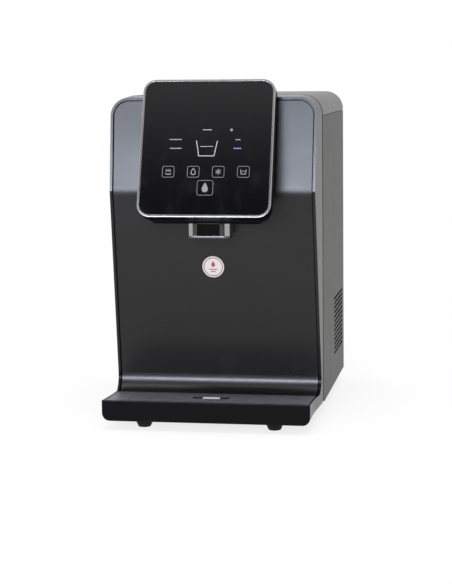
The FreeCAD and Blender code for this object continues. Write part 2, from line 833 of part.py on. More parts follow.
def compressor():
    """Welded steel can with a sloped crown on a base plate."""
    centre = can_centre()
    seat = FLOOR_TOP + GROMMET_HEIGHT
    plate = block(
        centre.x - CAN_BASE_WIDTH / 2,
        centre.x + CAN_BASE_WIDTH / 2,
        centre.y - CAN_BASE_DEPTH / 2,
        centre.y + CAN_BASE_DEPTH / 2,
        seat,
        seat + CAN_BASE_THICKNESS,
    )
    profile = [
        (0, 0),
        (CAN_RADIUS - CAN_EDGE, 0),
        (CAN_RADIUS, CAN_EDGE),
        (CAN_RADIUS, CAN_HEIGHT),
        (CAN_RADIUS - 2 * CAN_CROWN, CAN_HEIGHT + CAN_CROWN),
        (0, CAN_HEIGHT + CAN_CROWN),
    ]
    foot = V(centre.x, centre.y, seat + CAN_BASE_THICKNESS)
    return joined([plate, turned(profile, foot)])


def grommets():
    """Rubber mounts between the chassis floor and the compressor plate."""
    return group(
        [rod(GROMMET_RADIUS, V(x, y, FLOOR_TOP), V(x, y, FLOOR_TOP + GROMMET_HEIGHT)) for x, y in grommet_places()]
    )


def fan_axis():
    """Middle of the fan, on the inner face of the condenser bracket."""
    vent_end = REAR_Y - SIDE_VENT_FROM_REAR
    z = BASE + SIDE_VENT_BASE_HEIGHT + (SIDE_VENT_COUNT - 1) * SIDE_VENT_PITCH / 2
    x = INNER_HALF - CONDENSER_SIDE_GAP - CONDENSER_DEPTH - SHEET
    return V(x, vent_end - SIDE_VENT_LENGTH / 2, z)


def condenser_bracket():
    """Folded sheet between the condenser and the fan, with the fan's round opening."""
    centre = fan_axis()
    reach = CONDENSER_LENGTH / 2
    top = centre.z + CONDENSER_HEIGHT / 2 + CONDENSER_BRACKET_RISE
    outer = centre.x + SHEET
    sheet = block(centre.x, outer, centre.y - reach, centre.y + reach, FLOOR_TOP, top)
    inner = centre.x - CONDENSER_FOOT
    foot = block(inner, outer, centre.y - reach, centre.y + reach, FLOOR_TOP, FLOOR_TOP + SHEET)
    hole = rod(FAN_BORE_RADIUS, centre - RIGHT, centre + RIGHT * (SHEET + 1))
    return joined([sheet, foot]).cut(hole)


def condenser_tubes():
    """Two headers joined by flat tubes."""
    centre = fan_axis()
    x0 = centre.x + SHEET
    half_length = CONDENSER_LENGTH / 2
    inner = half_length - CONDENSER_HEADER_WIDTH
    half_height = CONDENSER_HEIGHT / 2
    pieces = []
    for side in (-1, 1):
        y0, y1 = sorted((centre.y + side * inner, centre.y + side * half_length))
        x1 = x0 + CONDENSER_HEADER_WIDTH
        pieces.append(block(x0, x1, y0, y1, centre.z - half_height, centre.z + half_height))
    for z in tube_heights():
        z0 = z - CONDENSER_TUBE_HEIGHT / 2
        pieces.append(
            block(x0, x0 + CONDENSER_DEPTH, centre.y - inner, centre.y + inner, z0, z0 + CONDENSER_TUBE_HEIGHT)
        )
    return joined(pieces)


def tube_heights():
    centre = fan_axis()
    pitch = (CONDENSER_HEIGHT - 6) / (CONDENSER_TUBES - 1)
    low = centre.z - (CONDENSER_TUBES - 1) * pitch / 2
    return [low + index * pitch for index in range(CONDENSER_TUBES)]


def condenser_fins():
    """Zigzag fin strips between the flat tubes."""
    centre = fan_axis()
    x0 = centre.x + SHEET
    heights = tube_heights()
    reach = CONDENSER_LENGTH / 2 - CONDENSER_HEADER_WIDTH - 1
    step = 2 * reach / CONDENSER_FINS
    strips = []
    for low, high in zip(heights, heights[1:]):
        z0 = low + CONDENSER_TUBE_HEIGHT / 2
        z1 = high - CONDENSER_TUBE_HEIGHT / 2 - FIN_THICKNESS
        points = []
        for index in range(CONDENSER_FINS + 1):
            points.append((centre.y - reach + index * step, z1 if index % 2 else z0))
        upper = [(y, z + FIN_THICKNESS) for y, z in reversed(points)]
        corners = [(y, z, 0) for y, z in points + upper]
        strips.append(prism(corners, end_view(x0), RIGHT * CONDENSER_DEPTH))
    return group(strips)


def fan_shroud():
    """Square fan frame with a round duct, four struts and the pin that the rotor turns on."""
    centre = fan_axis()
    half = FAN_SIZE / 2
    outer = rectangle(centre.y - half, centre.y + half, centre.z - half, centre.z + half, 5)
    frame = prism(outer, end_view(centre.x - FAN_DEPTH), RIGHT * FAN_DEPTH)
    frame = frame.cut(rod(FAN_BORE_RADIUS, centre - RIGHT * (FAN_DEPTH + 1), centre + RIGHT))
    start = centre - RIGHT * FAN_DEPTH
    pad = rod(FAN_HUB_RADIUS, start, start + RIGHT * 3)
    pin = rod(FAN_PIN_RADIUS, start, start + RIGHT * (FAN_DEPTH - 4))
    arm = block(start.x, start.x + 3, centre.y - FAN_BORE_RADIUS - 1, centre.y + FAN_BORE_RADIUS + 1, -2, 2)
    arms = []
    for angle in (45, 135):
        turned_arm = arm.copy()
        turned_arm.translate(V(0, 0, centre.z))
        turned_arm.rotate(centre, RIGHT, angle)
        arms.append(turned_arm)
    return joined([frame, pad, pin, *arms])


def fan_rotor():
    """Hub cup with pitched blades, lofted from a steep root to a flatter tip."""
    centre = fan_axis()
    start = centre - RIGHT * (FAN_DEPTH - 4)
    end = centre - RIGHT * 2
    hub = rod(FAN_HUB_RADIUS, start, end)
    blades = []
    for index in range(FAN_BLADES):
        root = blade_section(centre, FAN_HUB_RADIUS - 2, 14, 38)
        tip = blade_section(centre, FAN_BLADE_RADIUS, 26, 24)
        blade = Part.makeLoft([root, tip], True, True)
        blade.rotate(centre, RIGHT, index * 360 / FAN_BLADES)
        blades.append(blade)
    rotor = joined([hub, *blades])
    bore = rod(FAN_PIN_RADIUS + FAN_PIN_FIT, start - RIGHT, end - RIGHT * 2)
    return rotor.cut(bore)


def blade_section(centre, radius, chord, pitch_degrees):
    """Thin slanted outline of one blade at one radius, on a plane above the hub."""
    pitch = math.radians(pitch_degrees)
    middle_x = centre.x - FAN_DEPTH / 2 - 1
    along = V(math.sin(pitch), math.cos(pitch), 0)
    across = V(math.cos(pitch), -math.sin(pitch), 0)
    corner_signs = ((-1, -1), (1, -1), (1, 1), (-1, 1))
    middle = V(middle_x, centre.y, centre.z + radius)
    points = [middle + along * (s * chord / 2) + across * (t * 0.7) for s, t in corner_signs]
    points.append(points[0])
    return Part.makePolygon(points)


def header_top(side):
    """Middle of the top end of the front (-1) or rear (1) condenser header."""
    centre = fan_axis()
    y = centre.y + side * (CONDENSER_LENGTH - CONDENSER_HEADER_WIDTH) / 2
    return V(centre.x + SHEET + CONDENSER_HEADER_WIDTH / 2, y, centre.z + CONDENSER_HEIGHT / 2)


def drier_end():
    """End of the drier that faces the condenser."""
    top = header_top(1)
    return V(top.x - 2 * DRIER_LENGTH / 3, top.y, top.z + DRIER_HEIGHT)


def filter_drier():
    end = drier_end()
    return rod(DRIER_RADIUS, end, end - RIGHT * DRIER_LENGTH)


def refrigerant_pipes():
    """Discharge, liquid and suction lines between the can, the condenser and the deck."""
    centre = can_centre()
    underside = DECK_TOP - DECK_THICKNESS
    port_z = FLOOR_TOP + GROMMET_HEIGHT + CAN_BASE_THICKNESS + CAN_HEIGHT - 12
    front = header_top(-1)
    rear = header_top(1)
    over = front.z + DRIER_HEIGHT
    turn_x = fan_axis().x - FAN_DEPTH - 16
    discharge = [
        V(centre.x + CAN_RADIUS, centre.y, port_z),
        V(turn_x, centre.y, port_z),
        V(turn_x, front.y, over),
        V(front.x, front.y, over),
        front,
    ]
    end = drier_end()
    liquid = [rear, V(rear.x, rear.y, end.z), end]
    far = end - RIGHT * DRIER_LENGTH
    capillary = [far, far - RIGHT * 15, V(far.x - 15, far.y, underside)]
    lane = centre.y - CAN_RADIUS - 14
    suction = [
        V(centre.x, centre.y - CAN_RADIUS, port_z),
        V(centre.x, lane, port_z),
        V(centre.x, lane, underside),
    ]
    return group([pipe(points, PIPE_RADIUS) for points in (discharge, liquid, capillary, suction)])


def cooling():
    return {
        "compressor": compressor(),
        "compressor_grommets": grommets(),
        "condenser_bracket": condenser_bracket(),
        "condenser_tubes": condenser_tubes(),
        "condenser_fins": condenser_fins(),
        "fan_shroud": fan_shroud(),
        "fan_rotor": fan_rotor(),
        "filter_drier": filter_drier(),
        "refrigerant_pipes": refrigerant_pipes(),
    }


# Tanks


def cold_tank():
    """Stainless can that stands inside the foam."""
    bottom = DECK_TOP + FOAM_WALL
    wall = COLD_WALL
    profile = [
        (0, 0),
        (COLD_RADIUS, 0),
        (COLD_RADIUS, COLD_HEIGHT),
        (COLD_RADIUS - wall, COLD_HEIGHT),
        (COLD_RADIUS - wall, wall),
        (0, wall),
    ]
    return turned(profile, V(COLD_X, COLD_Y, bottom))


def cold_foam():
    """Moulded foam jacket round the cold tank and its coil."""
    height = FOAM_WALL + COLD_HEIGHT
    bore = FOAM_RADIUS - FOAM_WALL
    profile = [
        (0, 0),
        (FOAM_RADIUS, 0),
        (FOAM_RADIUS, height),
        (bore, height),
        (bore, FOAM_WALL),
        (0, FOAM_WALL),
    ]
    return turned(profile, V(COLD_X, COLD_Y, DECK_TOP))


def biarc(start, start_heading, end, end_heading):
    """Two tangent arcs between two points with given headings."""
    span = end - start
    both = start_heading + end_heading
    spread = 2 * (1 - start_heading.dot(end_heading))
    lean = span.dot(both)
    reach = (math.sqrt(lean**2 + spread * span.dot(span)) - lean) / spread
    first_meeting = start + start_heading * reach
    second_meeting = end - end_heading * reach
    middle = (first_meeting + second_meeting) * 0.5
    return [tangent_arc(start, first_meeting, middle), tangent_arc(middle, second_meeting, end)]


def evaporator_coil():
    """Flattened copper tube wound round the cold tank in one unbroken helix."""
    radius = COLD_RADIUS + COIL_GAP + COIL_TUBE_THICKNESS / 2
    low = DECK_TOP + FOAM_WALL + (COLD_HEIGHT - COIL_TURNS * COIL_PITCH) / 2
    rise = COIL_PITCH / (2 * math.pi * radius)
    stations = []
    for half_turn in range(2 * COIL_TURNS + 1):
        angle = half_turn * math.pi
        height = low + half_turn * COIL_PITCH / 2
        point = V(COLD_X + radius * math.cos(angle), COLD_Y + radius * math.sin(angle), height)
        heading = V(-math.sin(angle), math.cos(angle), rise).normalize()
        stations.append((point, heading))
    edges = []
    for (start, start_heading), (end, end_heading) in zip(stations, stations[1:]):
        edges.extend(biarc(start, start_heading, end, end_heading))
    print("least gap between coil turns:", round(COIL_PITCH - COIL_TUBE_HEIGHT, 2), "mm")
    start, heading = stations[0]
    upright = RIGHT.cross(heading)
    half_thickness = COIL_TUBE_THICKNESS / 2
    half_height = COIL_TUBE_HEIGHT / 2
    corners = rectangle(-half_thickness, half_thickness, -half_height, half_height)
    shell = Part.BRepOffsetAPI.MakePipeShell(Part.Wire(edges))
    shell.setBiNormalMode(UP)
    shell.add(outline(corners, lambda u, v: start + RIGHT * u + upright * v))
    shell.build()
    shell.makeSolid()
    return shell.shape()


def cold_lid():
    """Foam-backed lid with the stem that guides the level float."""
    foot = STEM_FOOT_HEIGHT - STEM_LENGTH
    profile = [
        (0, -STEM_LENGTH),
        (STEM_FOOT_RADIUS, -STEM_LENGTH),
        (STEM_FOOT_RADIUS, foot),
        (STEM_RADIUS, foot),
        (STEM_RADIUS, 0),
        (FOAM_RADIUS, 0),
        (FOAM_RADIUS, LID_THICKNESS),
        (0, LID_THICKNESS),
    ]
    return turned(profile, V(COLD_X, COLD_Y, DECK_TOP + FOAM_WALL + COLD_HEIGHT))


def level_float():
    """Ring float that slides on the stem and rests on its foot."""
    bottom = DECK_TOP + FOAM_WALL + COLD_HEIGHT - STEM_LENGTH + STEM_FOOT_HEIGHT + FIT
    start = V(COLD_X, COLD_Y, bottom)
    return tube(LEVEL_FLOAT_RADIUS, STEM_RADIUS + FIT, start, start + UP * LEVEL_FLOAT_HEIGHT)


def hot_tank():
    """Stainless boiler with a closed top and a bottom flange."""
    body = tube(HOT_RADIUS, HOT_RADIUS - HOT_WALL, V(HOT_X, HOT_Y, 0), V(HOT_X, HOT_Y, HOT_HEIGHT))
    foot = rod(HOT_RADIUS, V(HOT_X, HOT_Y, 0), V(HOT_X, HOT_Y, HOT_WALL))
    crown = rod(HOT_RADIUS, V(HOT_X, HOT_Y, HOT_HEIGHT - HOT_WALL), V(HOT_X, HOT_Y, HOT_HEIGHT))
    boiler = joined([body, foot, crown])
    boiler.translate(UP * (DECK_TOP + JACKET_WALL))
    return boiler


def band_heater():
    start = V(HOT_X, HOT_Y, DECK_TOP + JACKET_WALL + 14)
    return tube(HOT_RADIUS + HEATER_THICKNESS, HOT_RADIUS, start, start + UP * HEATER_HEIGHT)


def hot_jacket():
    """Insulation sleeve with a floor, open at the top."""
    bore = JACKET_RADIUS - JACKET_WALL
    height = JACKET_WALL + HOT_HEIGHT
    profile = [
        (0, 0),
        (JACKET_RADIUS, 0),
        (JACKET_RADIUS, height),
        (bore, height),
        (bore, JACKET_WALL),
        (0, JACKET_WALL),
    ]
    return turned(profile, V(HOT_X, HOT_Y, DECK_TOP))


def thermostats():
    """Control and safety thermostats on the crown of the hot tank."""
    top = DECK_TOP + JACKET_WALL + HOT_HEIGHT
    discs = []
    for side in (-1, 1):
        seat = V(HOT_X + side * HOT_RADIUS / 2, HOT_Y, top)
        discs.append(rod(THERMOSTAT_RADIUS, seat, seat + UP * THERMOSTAT_HEIGHT))
    return group(discs)


def tanks():
    return {
        "cold_tank": cold_tank(),
        "cold_tank_foam": cold_foam(),
        "evaporator_coil": evaporator_coil(),
        "cold_tank_lid": cold_lid(),
        "level_float": level_float(),
        "hot_tank": hot_tank(),
        "band_heater": band_heater(),
        "hot_tank_jacket": hot_jacket(),
        "thermostats": thermostats(),
    }


# Filters


def filter_places():
    pitch = 2 * FILTER_RADIUS + FILTER_GAP
    first = -INNER_HALF + FILTER_RADIUS + FILTER_GAP
    return [first + index * pitch for index in range(3)]


def filter_cartridge(x):
    """Capsule with a spigot below and a twist handle on top."""
    spigot = FILTER_SPIGOT_RADIUS
    crown = FILTER_LENGTH - FILTER_HANDLE_HEIGHT
    profile = [
        (0, -FILTER_SPIGOT_LENGTH),
        (spigot, -FILTER_SPIGOT_LENGTH),
        (spigot, 0),
        (FILTER_RADIUS, 0),
        (FILTER_RADIUS, crown),
        (0, crown),
    ]
    capsule = turned(profile, V(x, FILTER_Y, FILTER_BOTTOM))
    handle = block(
        x - FILTER_RADIUS + FILTER_HANDLE_INSET,
        x + FILTER_RADIUS - FILTER_HANDLE_INSET,
        FILTER_Y - FILTER_HANDLE_WIDTH / 2,
        FILTER_Y + FILTER_HANDLE_WIDTH / 2,
        FILTER_BOTTOM + crown - 1,
        FILTER_TOP,
    )
    return joined([capsule, handle])


def filter_manifold():
    """Socket bar for the cartridges on two legs that stand on the chassis floor."""
    places = filter_places()
    x0 = places[0] - FILTER_RADIUS + 2
    x1 = places[-1] + FILTER_RADIUS
    y0 = FILTER_Y - MANIFOLD_DEPTH / 2
    y1 = FILTER_Y + MANIFOLD_DEPTH / 2
    bar = block(x0, x1, y0, y1, MANIFOLD_TOP - MANIFOLD_HEIGHT, MANIFOLD_TOP)
    legs = []
    for x in (x0 + MANIFOLD_FOOT, x1 - 2 * MANIFOLD_FOOT):
        legs.append(block(x, x + MANIFOLD_FOOT, y0 + 6, y1 - 6, FLOOR_TOP, MANIFOLD_TOP - MANIFOLD_HEIGHT))
    sockets = []
    for x in places:
        mouth = V(x, FILTER_Y, MANIFOLD_TOP + 1)
        depth = FILTER_SPIGOT_LENGTH + 1 + FIT
        sockets.append(rod(FILTER_SPIGOT_RADIUS + SPIGOT_FIT, mouth - UP * depth, mouth))
    return joined([bar, *legs]).cut(sockets)


def filters():
    names = ("sediment_filter", "carbon_filter", "membrane_filter")
    pieces = {name: filter_cartridge(x) for name, x in zip(names, filter_places())}
    pieces["filter_manifold"] = filter_manifold()
    return pieces


# Head and spout


def head_frame():
    """Placement of the head: x across, y up the slope, z out of the glass."""
    centre = V(0, SEAM_Y - HEAD_REACH, BASE + HEAD_HEIGHT)
    return FreeCAD.Placement(centre, FreeCAD.Rotation(RIGHT, 90 - HEAD_TILT))


def slab(width, height, radius, low, high):
    """Rounded slab between two levels in the head's own frame."""
    corners = rectangle(-width / 2, width / 2, -height / 2, height / 2, radius)
    return prism(corners, top_view(low), UP * (high - low))


def on_head(shape):
    shape.Placement = head_frame().multiply(shape.Placement)
    return shape


def touch_glass():
    plate = slab(GLASS_WIDTH - 2 * CLOSE_FIT, GLASS_HEIGHT - 2 * CLOSE_FIT, GLASS_CORNER, -GLASS_THICKNESS, 0)
    return on_head(plate)


def head_rim():
    """Bright ring round the glass."""
    outer = slab(
        GLASS_WIDTH + 2 * RIM_WIDTH,
        GLASS_HEIGHT + 2 * RIM_WIDTH,
        GLASS_CORNER + RIM_WIDTH,
        -GLASS_THICKNESS,
        RIM_PROUD,
    )
    front_edges = [e for e in outer.Edges if all(abs(v.Z - RIM_PROUD) < 1e-6 for v in e.Vertexes)]
    outer = outer.makeChamfer(RIM_CHAMFER, front_edges)
    inner = slab(GLASS_WIDTH, GLASS_HEIGHT, GLASS_CORNER, -GLASS_THICKNESS - 1, RIM_PROUD + 1)
    return on_head(outer.cut(inner))


def head_shell():
    """Back shell of the head with four posts for the display board."""
    width = GLASS_WIDTH + 2 * RIM_WIDTH
    height = GLASS_HEIGHT + 2 * RIM_WIDTH
    radius = GLASS_CORNER + RIM_WIDTH
    outer = slab(width, height, radius, -HEAD_THICKNESS, -GLASS_THICKNESS)
    back_edges = [e for e in outer.Edges if all(abs(v.Z + HEAD_THICKNESS) < 1e-6 for v in e.Vertexes)]
    outer = outer.makeChamfer(SHELL_CHAMFER, back_edges)
    inner = slab(
        width - 2 * HEAD_WALL,
        height - 2 * HEAD_WALL,
        radius - HEAD_WALL,
        HEAD_BACK_WALL - HEAD_THICKNESS,
        0,
    )
    board_back = -GLASS_THICKNESS - BOARD_DROP
    posts = []
    reach = BOARD_SIZE / 2 - BOARD_POST
    half_post = BOARD_POST / 2
    for sx in (-1, 1):
        for sy in (-1, 1):
            x = sx * reach
            y = sy * reach
            floor = HEAD_BACK_WALL - HEAD_THICKNESS
            posts.append(block(x - half_post, x + half_post, y - half_post, y + half_post, floor, board_back))
    slot_y = CABLE_SLOT_RISE - GLASS_HEIGHT / 2
    half_slot = CABLE_SLOT_WIDTH / 2
    cable_slot = block(-half_slot, half_slot, slot_y, slot_y + CABLE_SLOT_HEIGHT, -HEAD_THICKNESS - 1, 0)
    return on_head(joined([outer.cut(inner), *posts]).cut(cable_slot))


def display_board():
    back = -GLASS_THICKNESS - BOARD_DROP
    return on_head(slab(BOARD_SIZE, BOARD_SIZE, 0, back, back + BOARD_THICKNESS))


def key_places():
    """Centres of the touch keys in the head's own frame."""
    row = GLASS_HEIGHT / 2 - KEY_ROW_DROP
    keys = [((index - (KEY_COUNT - 1) / 2) * KEY_PITCH, row) for index in range(KEY_COUNT)]
    return keys + [(0, GLASS_HEIGHT / 2 - BIG_KEY_DROP)]


def touch_pads():
    """Conductive foam pads between the board and the glass, one behind each key."""
    front = -GLASS_THICKNESS
    back = front - BOARD_DROP + BOARD_THICKNESS
    half = TOUCH_PAD_SIZE / 2
    return on_head(group([block(x - half, x + half, y - half, y + half, back, front) for x, y in key_places()]))


def neck_side(inset):
    """Side view of the neck between the case and the slanted back of the head."""
    tilt = math.radians(HEAD_TILT)
    back_reach = HEAD_REACH - HEAD_THICKNESS * math.cos(tilt)
    back_z = BASE + HEAD_HEIGHT - HEAD_THICKNESS * math.sin(tilt)

    def shell_reach(z):
        return back_reach - (z - back_z) * math.tan(tilt)

    nose_z = back_z + (back_reach - NECK_NOSE_REACH) / math.tan(tilt)
    floor = NECK_FLOOR + inset
    top = BASE + NECK_TOP - inset
    nose = NECK_NOSE_REACH - inset
    over = 5 if inset else 0
    return [
        (BRACKET_REACH + BRACKET_THICKNESS - over, floor, 0),
        (nose, floor, max(NECK_NOSE_RADIUS - inset, 0.5)),
        (nose, nose_z, 0),
        (shell_reach(top) + over, top, 0),
        (BRACKET_REACH + BRACKET_THICKNESS - over, top, 0),
    ]


def neck_body(inset):
    side = prism(neck_side(inset), side_view(-HALF), RIGHT * BODY_WIDTH)
    rear = NECK_REAR_HALF - inset
    front = NECK_FRONT_HALF - inset
    reach = NECK_NOSE_REACH + 10
    plan = [
        (-rear, SEAM_Y, 0),
        (rear, SEAM_Y, 0),
        (rear, SEAM_Y - NECK_TAPER_REACH, 0),
        (front, SEAM_Y - NECK_NOSE_REACH, 0),
        (front, SEAM_Y - reach, 0),
        (-front, SEAM_Y - reach, 0),
        (-front, SEAM_Y - NECK_NOSE_REACH, 0),
        (-rear, SEAM_Y - NECK_TAPER_REACH, 0),
    ]
    above = prism(plan, top_view(0), UP * (CASE_TOP + NECK_NOSE_REACH))
    corner = 10 - inset
    floor = NECK_FLOOR + inset
    face = rectangle(-rear, rear, floor, BASE + NECK_TOP - inset, corner)
    ahead = prism(face, front_view(SEAM_Y + 1), V(0, -TRAY_REACH, 0))
    return side.common(above).common(ahead)


def spout_centre():
    return V(0, SEAM_Y - SPOUT_REACH + SPOUT_DEPTH / 2, 0)


def spout_section(extra):
    centre = spout_centre()
    half_width = SPOUT_WIDTH / 2 + extra
    half_depth = SPOUT_DEPTH / 2 + extra
    corner = SPOUT_CORNER + extra
    return rectangle(-half_width, half_width, centre.y - half_depth, centre.y + half_depth, corner)


def neck():
    """Hollow neck that carries the head and guides the spout through its floor."""
    hole = prism(spout_section(CLOSE_FIT), top_view(NECK_FLOOR - 1), UP * (NECK_WALL + 2))
    return neck_body(0).cut([neck_body(NECK_WALL), hole]).removeSplitter()


def head_bracket():
    """Cross plate behind the neck, held between the frame's ledges, with a window for the hoses."""
    front = BRACKET_REACH + BRACKET_THICKNESS
    half = HALF - FRAME_DRAFT * front - LIP_WIDTH - LEDGE_WIDTH - CLOSE_FIT
    foot = BASE + BRACKET_FOOT
    top = CASE_TOP - CASE_CORNER - FIT
    sill = NECK_FLOOR + NECK_WALL + 10
    plate = block(-half, half, SEAM_Y - front, SEAM_Y - BRACKET_REACH, foot, top)
    window = block(
        -BRACKET_WINDOW_HALF,
        BRACKET_WINDOW_HALF,
        SEAM_Y - front - 1,
        SEAM_Y - BRACKET_REACH + 1,
        sill,
        sill + BRACKET_WINDOW_HEIGHT,
    )
    return plate.cut(window)


def spout_sleeve():
    """Bright sleeve with a rolled lip at its mouth and a flange inside the neck."""
    bottom = NECK_FLOOR - SPOUT_DROP
    seat = NECK_FLOOR + NECK_WALL
    top = seat + SPOUT_FLANGE_THICKNESS
    body = prism(spout_section(0), top_view(bottom), UP * (top - bottom))
    lip = prism(spout_section(SPOUT_LIP_PROUD), top_view(bottom), UP * SPOUT_LIP_HEIGHT)
    flange = prism(spout_section(SPOUT_FLANGE), top_view(seat), UP * SPOUT_FLANGE_THICKNESS)
    bore = prism(spout_section(-SPOUT_WALL), top_view(bottom - 1), UP * (top - bottom + 2))
    return joined([body, lip, flange]).cut(bore)


def nozzle_bottom():
    return NECK_FLOOR - SPOUT_DROP + NOZZLE_RECESS


def outlet_nozzle():
    """Insert with a hot and a cold bore, each with its own tip."""
    bottom = nozzle_bottom()
    top = bottom + NOZZLE_HEIGHT
    centre = spout_centre()
    core = prism(spout_section(-SPOUT_WALL - CLOSE_FIT), top_view(bottom), UP * NOZZLE_HEIGHT)
    pieces = [core]
    bores = []
    for side in (-1, 1):
        place = V(side * NOZZLE_PITCH / 2, centre.y, 0)
        low = place + UP * (bottom - NOZZLE_TIP_LENGTH)
        pieces.append(rod(NOZZLE_TIP_RADIUS, low, place + UP * bottom))
        bores.append(rod(NOZZLE_BORE_RADIUS, low - UP, place + UP * (top - NOZZLE_SEAT)))
    return joined(pieces).cut(bores)


def steriliser_lamp():
    """Small ultraviolet lamp under the nozzle, between the tips and the front wall."""
    centre = spout_centre()
    top = V(0, centre.y - SPOUT_DEPTH / 4, nozzle_bottom())
    return rod(LAMP_RADIUS, top - UP * LAMP_LENGTH, top)


def head():
    return {
        "touch_glass": touch_glass(),
        "head_rim": head_rim(),
        "head_shell": head_shell(),
        "display_board": display_board(),
        "touch_pads": touch_pads(),
        "head_neck": neck(),
        "head_bracket": head_bracket(),
        "spout_sleeve": spout_sleeve(),
        "outlet_nozzle": outlet_nozzle(),
        "steriliser_lamp": steriliser_lamp(),
    }


# Drip tray


def tray_plan(gap):
    """Half width, front reach and rear reach of what drops into the tray well."""
    half = BOX_HALF - TRAY_BOX_WALL - gap
    front = TRAY_REACH - TRAY_BOX_WALL - gap
    return half, front, TRAY_REAR_REACH + gap


def between_lids(half, rear, front, low_drop, high_drop):
    """Slab between two planes that lie parallel to the tray box's top."""
    corners = [
        (rear, lid_height(rear, low_drop), 0),
        (front, lid_height(front, low_drop), 0),
        (front, lid_height(front, high_drop), 0),
        (rear, lid_height(rear, high_drop), 0),
    ]
    return prism(corners, side_view(-half), RIGHT * 2 * half)


def drip_tray():
    """Basin with a rounded keel section, a sloping rim and two pins for the float."""
    half, front, rear = tray_plan(TRAY_FIT)
    floor = BASE + TRAY_BOX_FLOOR + FIT
    corner = TRAY_BOX_CORNER - TRAY_BOX_WALL
    outer = [(-half, floor, corner), (half, floor, corner), (half, TRAY_TOP, 0), (-half, TRAY_TOP, 0)]
    body = prism(outer, front_view(SEAM_Y - rear), V(0, rear - front, 0))
    inner_half = half - TRAY_WALL
    inner_floor = floor + TRAY_WALL
    inner = [
        (-inner_half, inner_floor, corner - TRAY_WALL),
        (inner_half, inner_floor, corner - TRAY_WALL),
        (inner_half, TRAY_TOP + 1, 0),
        (-inner_half, TRAY_TOP + 1, 0),
    ]
    length = front - rear - 2 * TRAY_WALL
    basin = prism(inner, front_view(SEAM_Y - rear - TRAY_WALL), V(0, -length, 0))
    rim_drop = SEAM_GAP + GRILLE_THICKNESS + FIT
    above_rim = between_lids(half + 1, rear - 1, front + 1, rim_drop, -TRAY_BOX_HEIGHT)
    pins = []
    for x in float_pins():
        foot = V(x, SEAM_Y - FLOAT_WINDOW_REACH, inner_floor)
        pins.append(rod(FLOAT_PIN_RADIUS, foot, foot + UP * (FLOAT_RAFT_HEIGHT + FLOAT_TRAVEL)))
    return joined([body.cut([basin, above_rim]), *pins])


def float_pins():
    reach = (FLOAT_RAFT_WIDTH / 2 + FLOAT_FLAG_WIDTH / 2) / 2
    return (-reach, reach)


def tray_grille():
    """Sloping cover with staggered short slots and a window for the float."""
    half, front, rear = tray_plan(TRAY_FIT)
    z0 = lid_height(rear, SEAM_GAP + GRILLE_THICKNESS)
    plan = prism(rectangle(-half, half, SEAM_Y - front, SEAM_Y - rear, 3), top_view(BASE), UP * TRAY_TOP)
    plate = plan.common(between_lids(HALF, rear - 1, front + 1, SEAM_GAP + GRILLE_THICKNESS, SEAM_GAP))
    window = prism(
        rectangle(
            -FLOAT_WINDOW_WIDTH / 2,
            FLOAT_WINDOW_WIDTH / 2,
            SEAM_Y - FLOAT_WINDOW_REACH - FLOAT_WINDOW_DEPTH / 2,
            SEAM_Y - FLOAT_WINDOW_REACH + FLOAT_WINDOW_DEPTH / 2,
            FLOAT_WINDOW_CORNER,
        ),
        top_view(z0 - 1),
        UP * 10,
    )
    slots = []
    column_pitch = 2 * (half - GRILLE_MARGIN) / GRILLE_COLUMNS
    row_pitch = (front - rear - 2 * GRILLE_MARGIN) / (GRILLE_ROWS - 1)
    for row in range(GRILLE_ROWS):
        y = SEAM_Y - rear - GRILLE_MARGIN - row * row_pitch
        stagger = column_pitch / 2 if row % 2 else 0
        for column in range(GRILLE_COLUMNS - row % 2):
            x = -half + GRILLE_MARGIN + column_pitch / 2 + stagger + column * column_pitch
            if clear_of_window(x, y):
                slots.append(
                    block(
                        x - GRILLE_SLOT_LENGTH / 2,
                        x + GRILLE_SLOT_LENGTH / 2,
                        y - GRILLE_SLOT_WIDTH / 2,
                        y + GRILLE_SLOT_WIDTH / 2,
                        z0 - 1,
                        TRAY_TOP + 1,
                    )
                )
    return plate.cut([window, *slots])


def clear_of_window(x, y):
    reach_x = (FLOAT_WINDOW_WIDTH + GRILLE_SLOT_LENGTH) / 2 + 3
    reach_y = (FLOAT_WINDOW_DEPTH + GRILLE_SLOT_WIDTH) / 2 + 3
    return abs(x) > reach_x or abs(y - SEAM_Y + FLOAT_WINDOW_REACH) > reach_y


def tray_float():
    """Raft on two pins, with a bright flag that shows in the window."""
    floor = BASE + TRAY_BOX_FLOOR + FIT + TRAY_WALL + FIT
    y = SEAM_Y - FLOAT_WINDOW_REACH
    half_depth = FLOAT_RAFT_DEPTH / 2
    raft = prism(
        rectangle(-FLOAT_RAFT_WIDTH / 2, FLOAT_RAFT_WIDTH / 2, y - half_depth, y + half_depth, 4),
        top_view(floor),
        UP * FLOAT_RAFT_HEIGHT,
    )
    flag_half = FLOAT_WINDOW_DEPTH / 2 - 1
    flag = block(
        -FLOAT_FLAG_WIDTH / 2,
        FLOAT_FLAG_WIDTH / 2,
        y - flag_half,
        y + flag_half,
        floor + FLOAT_RAFT_HEIGHT,
        lid_height(FLOAT_WINDOW_REACH - flag_half, SEAM_GAP),
    )
    holes = []
    for x in float_pins():
        foot = V(x, y, floor - 1)
        holes.append(rod(FLOAT_PIN_RADIUS + FIT, foot, foot + UP * (FLOAT_RAFT_HEIGHT + 2)))
    return joined([raft, flag]).cut(holes)


def tray():
    return {
        "drip_tray": drip_tray(),
        "tray_grille": tray_grille(),
        "tray_float": tray_float(),
    }


# Rear connections


def recess_bounds():
    x0 = -INNER_HALF + RECESS_FROM_LEFT
    z0 = BASE + CHASSIS_RIM + CASE_WALL + 2
    return x0, x0 + RECESS_WIDTH, z0, z0 + RECESS_HEIGHT


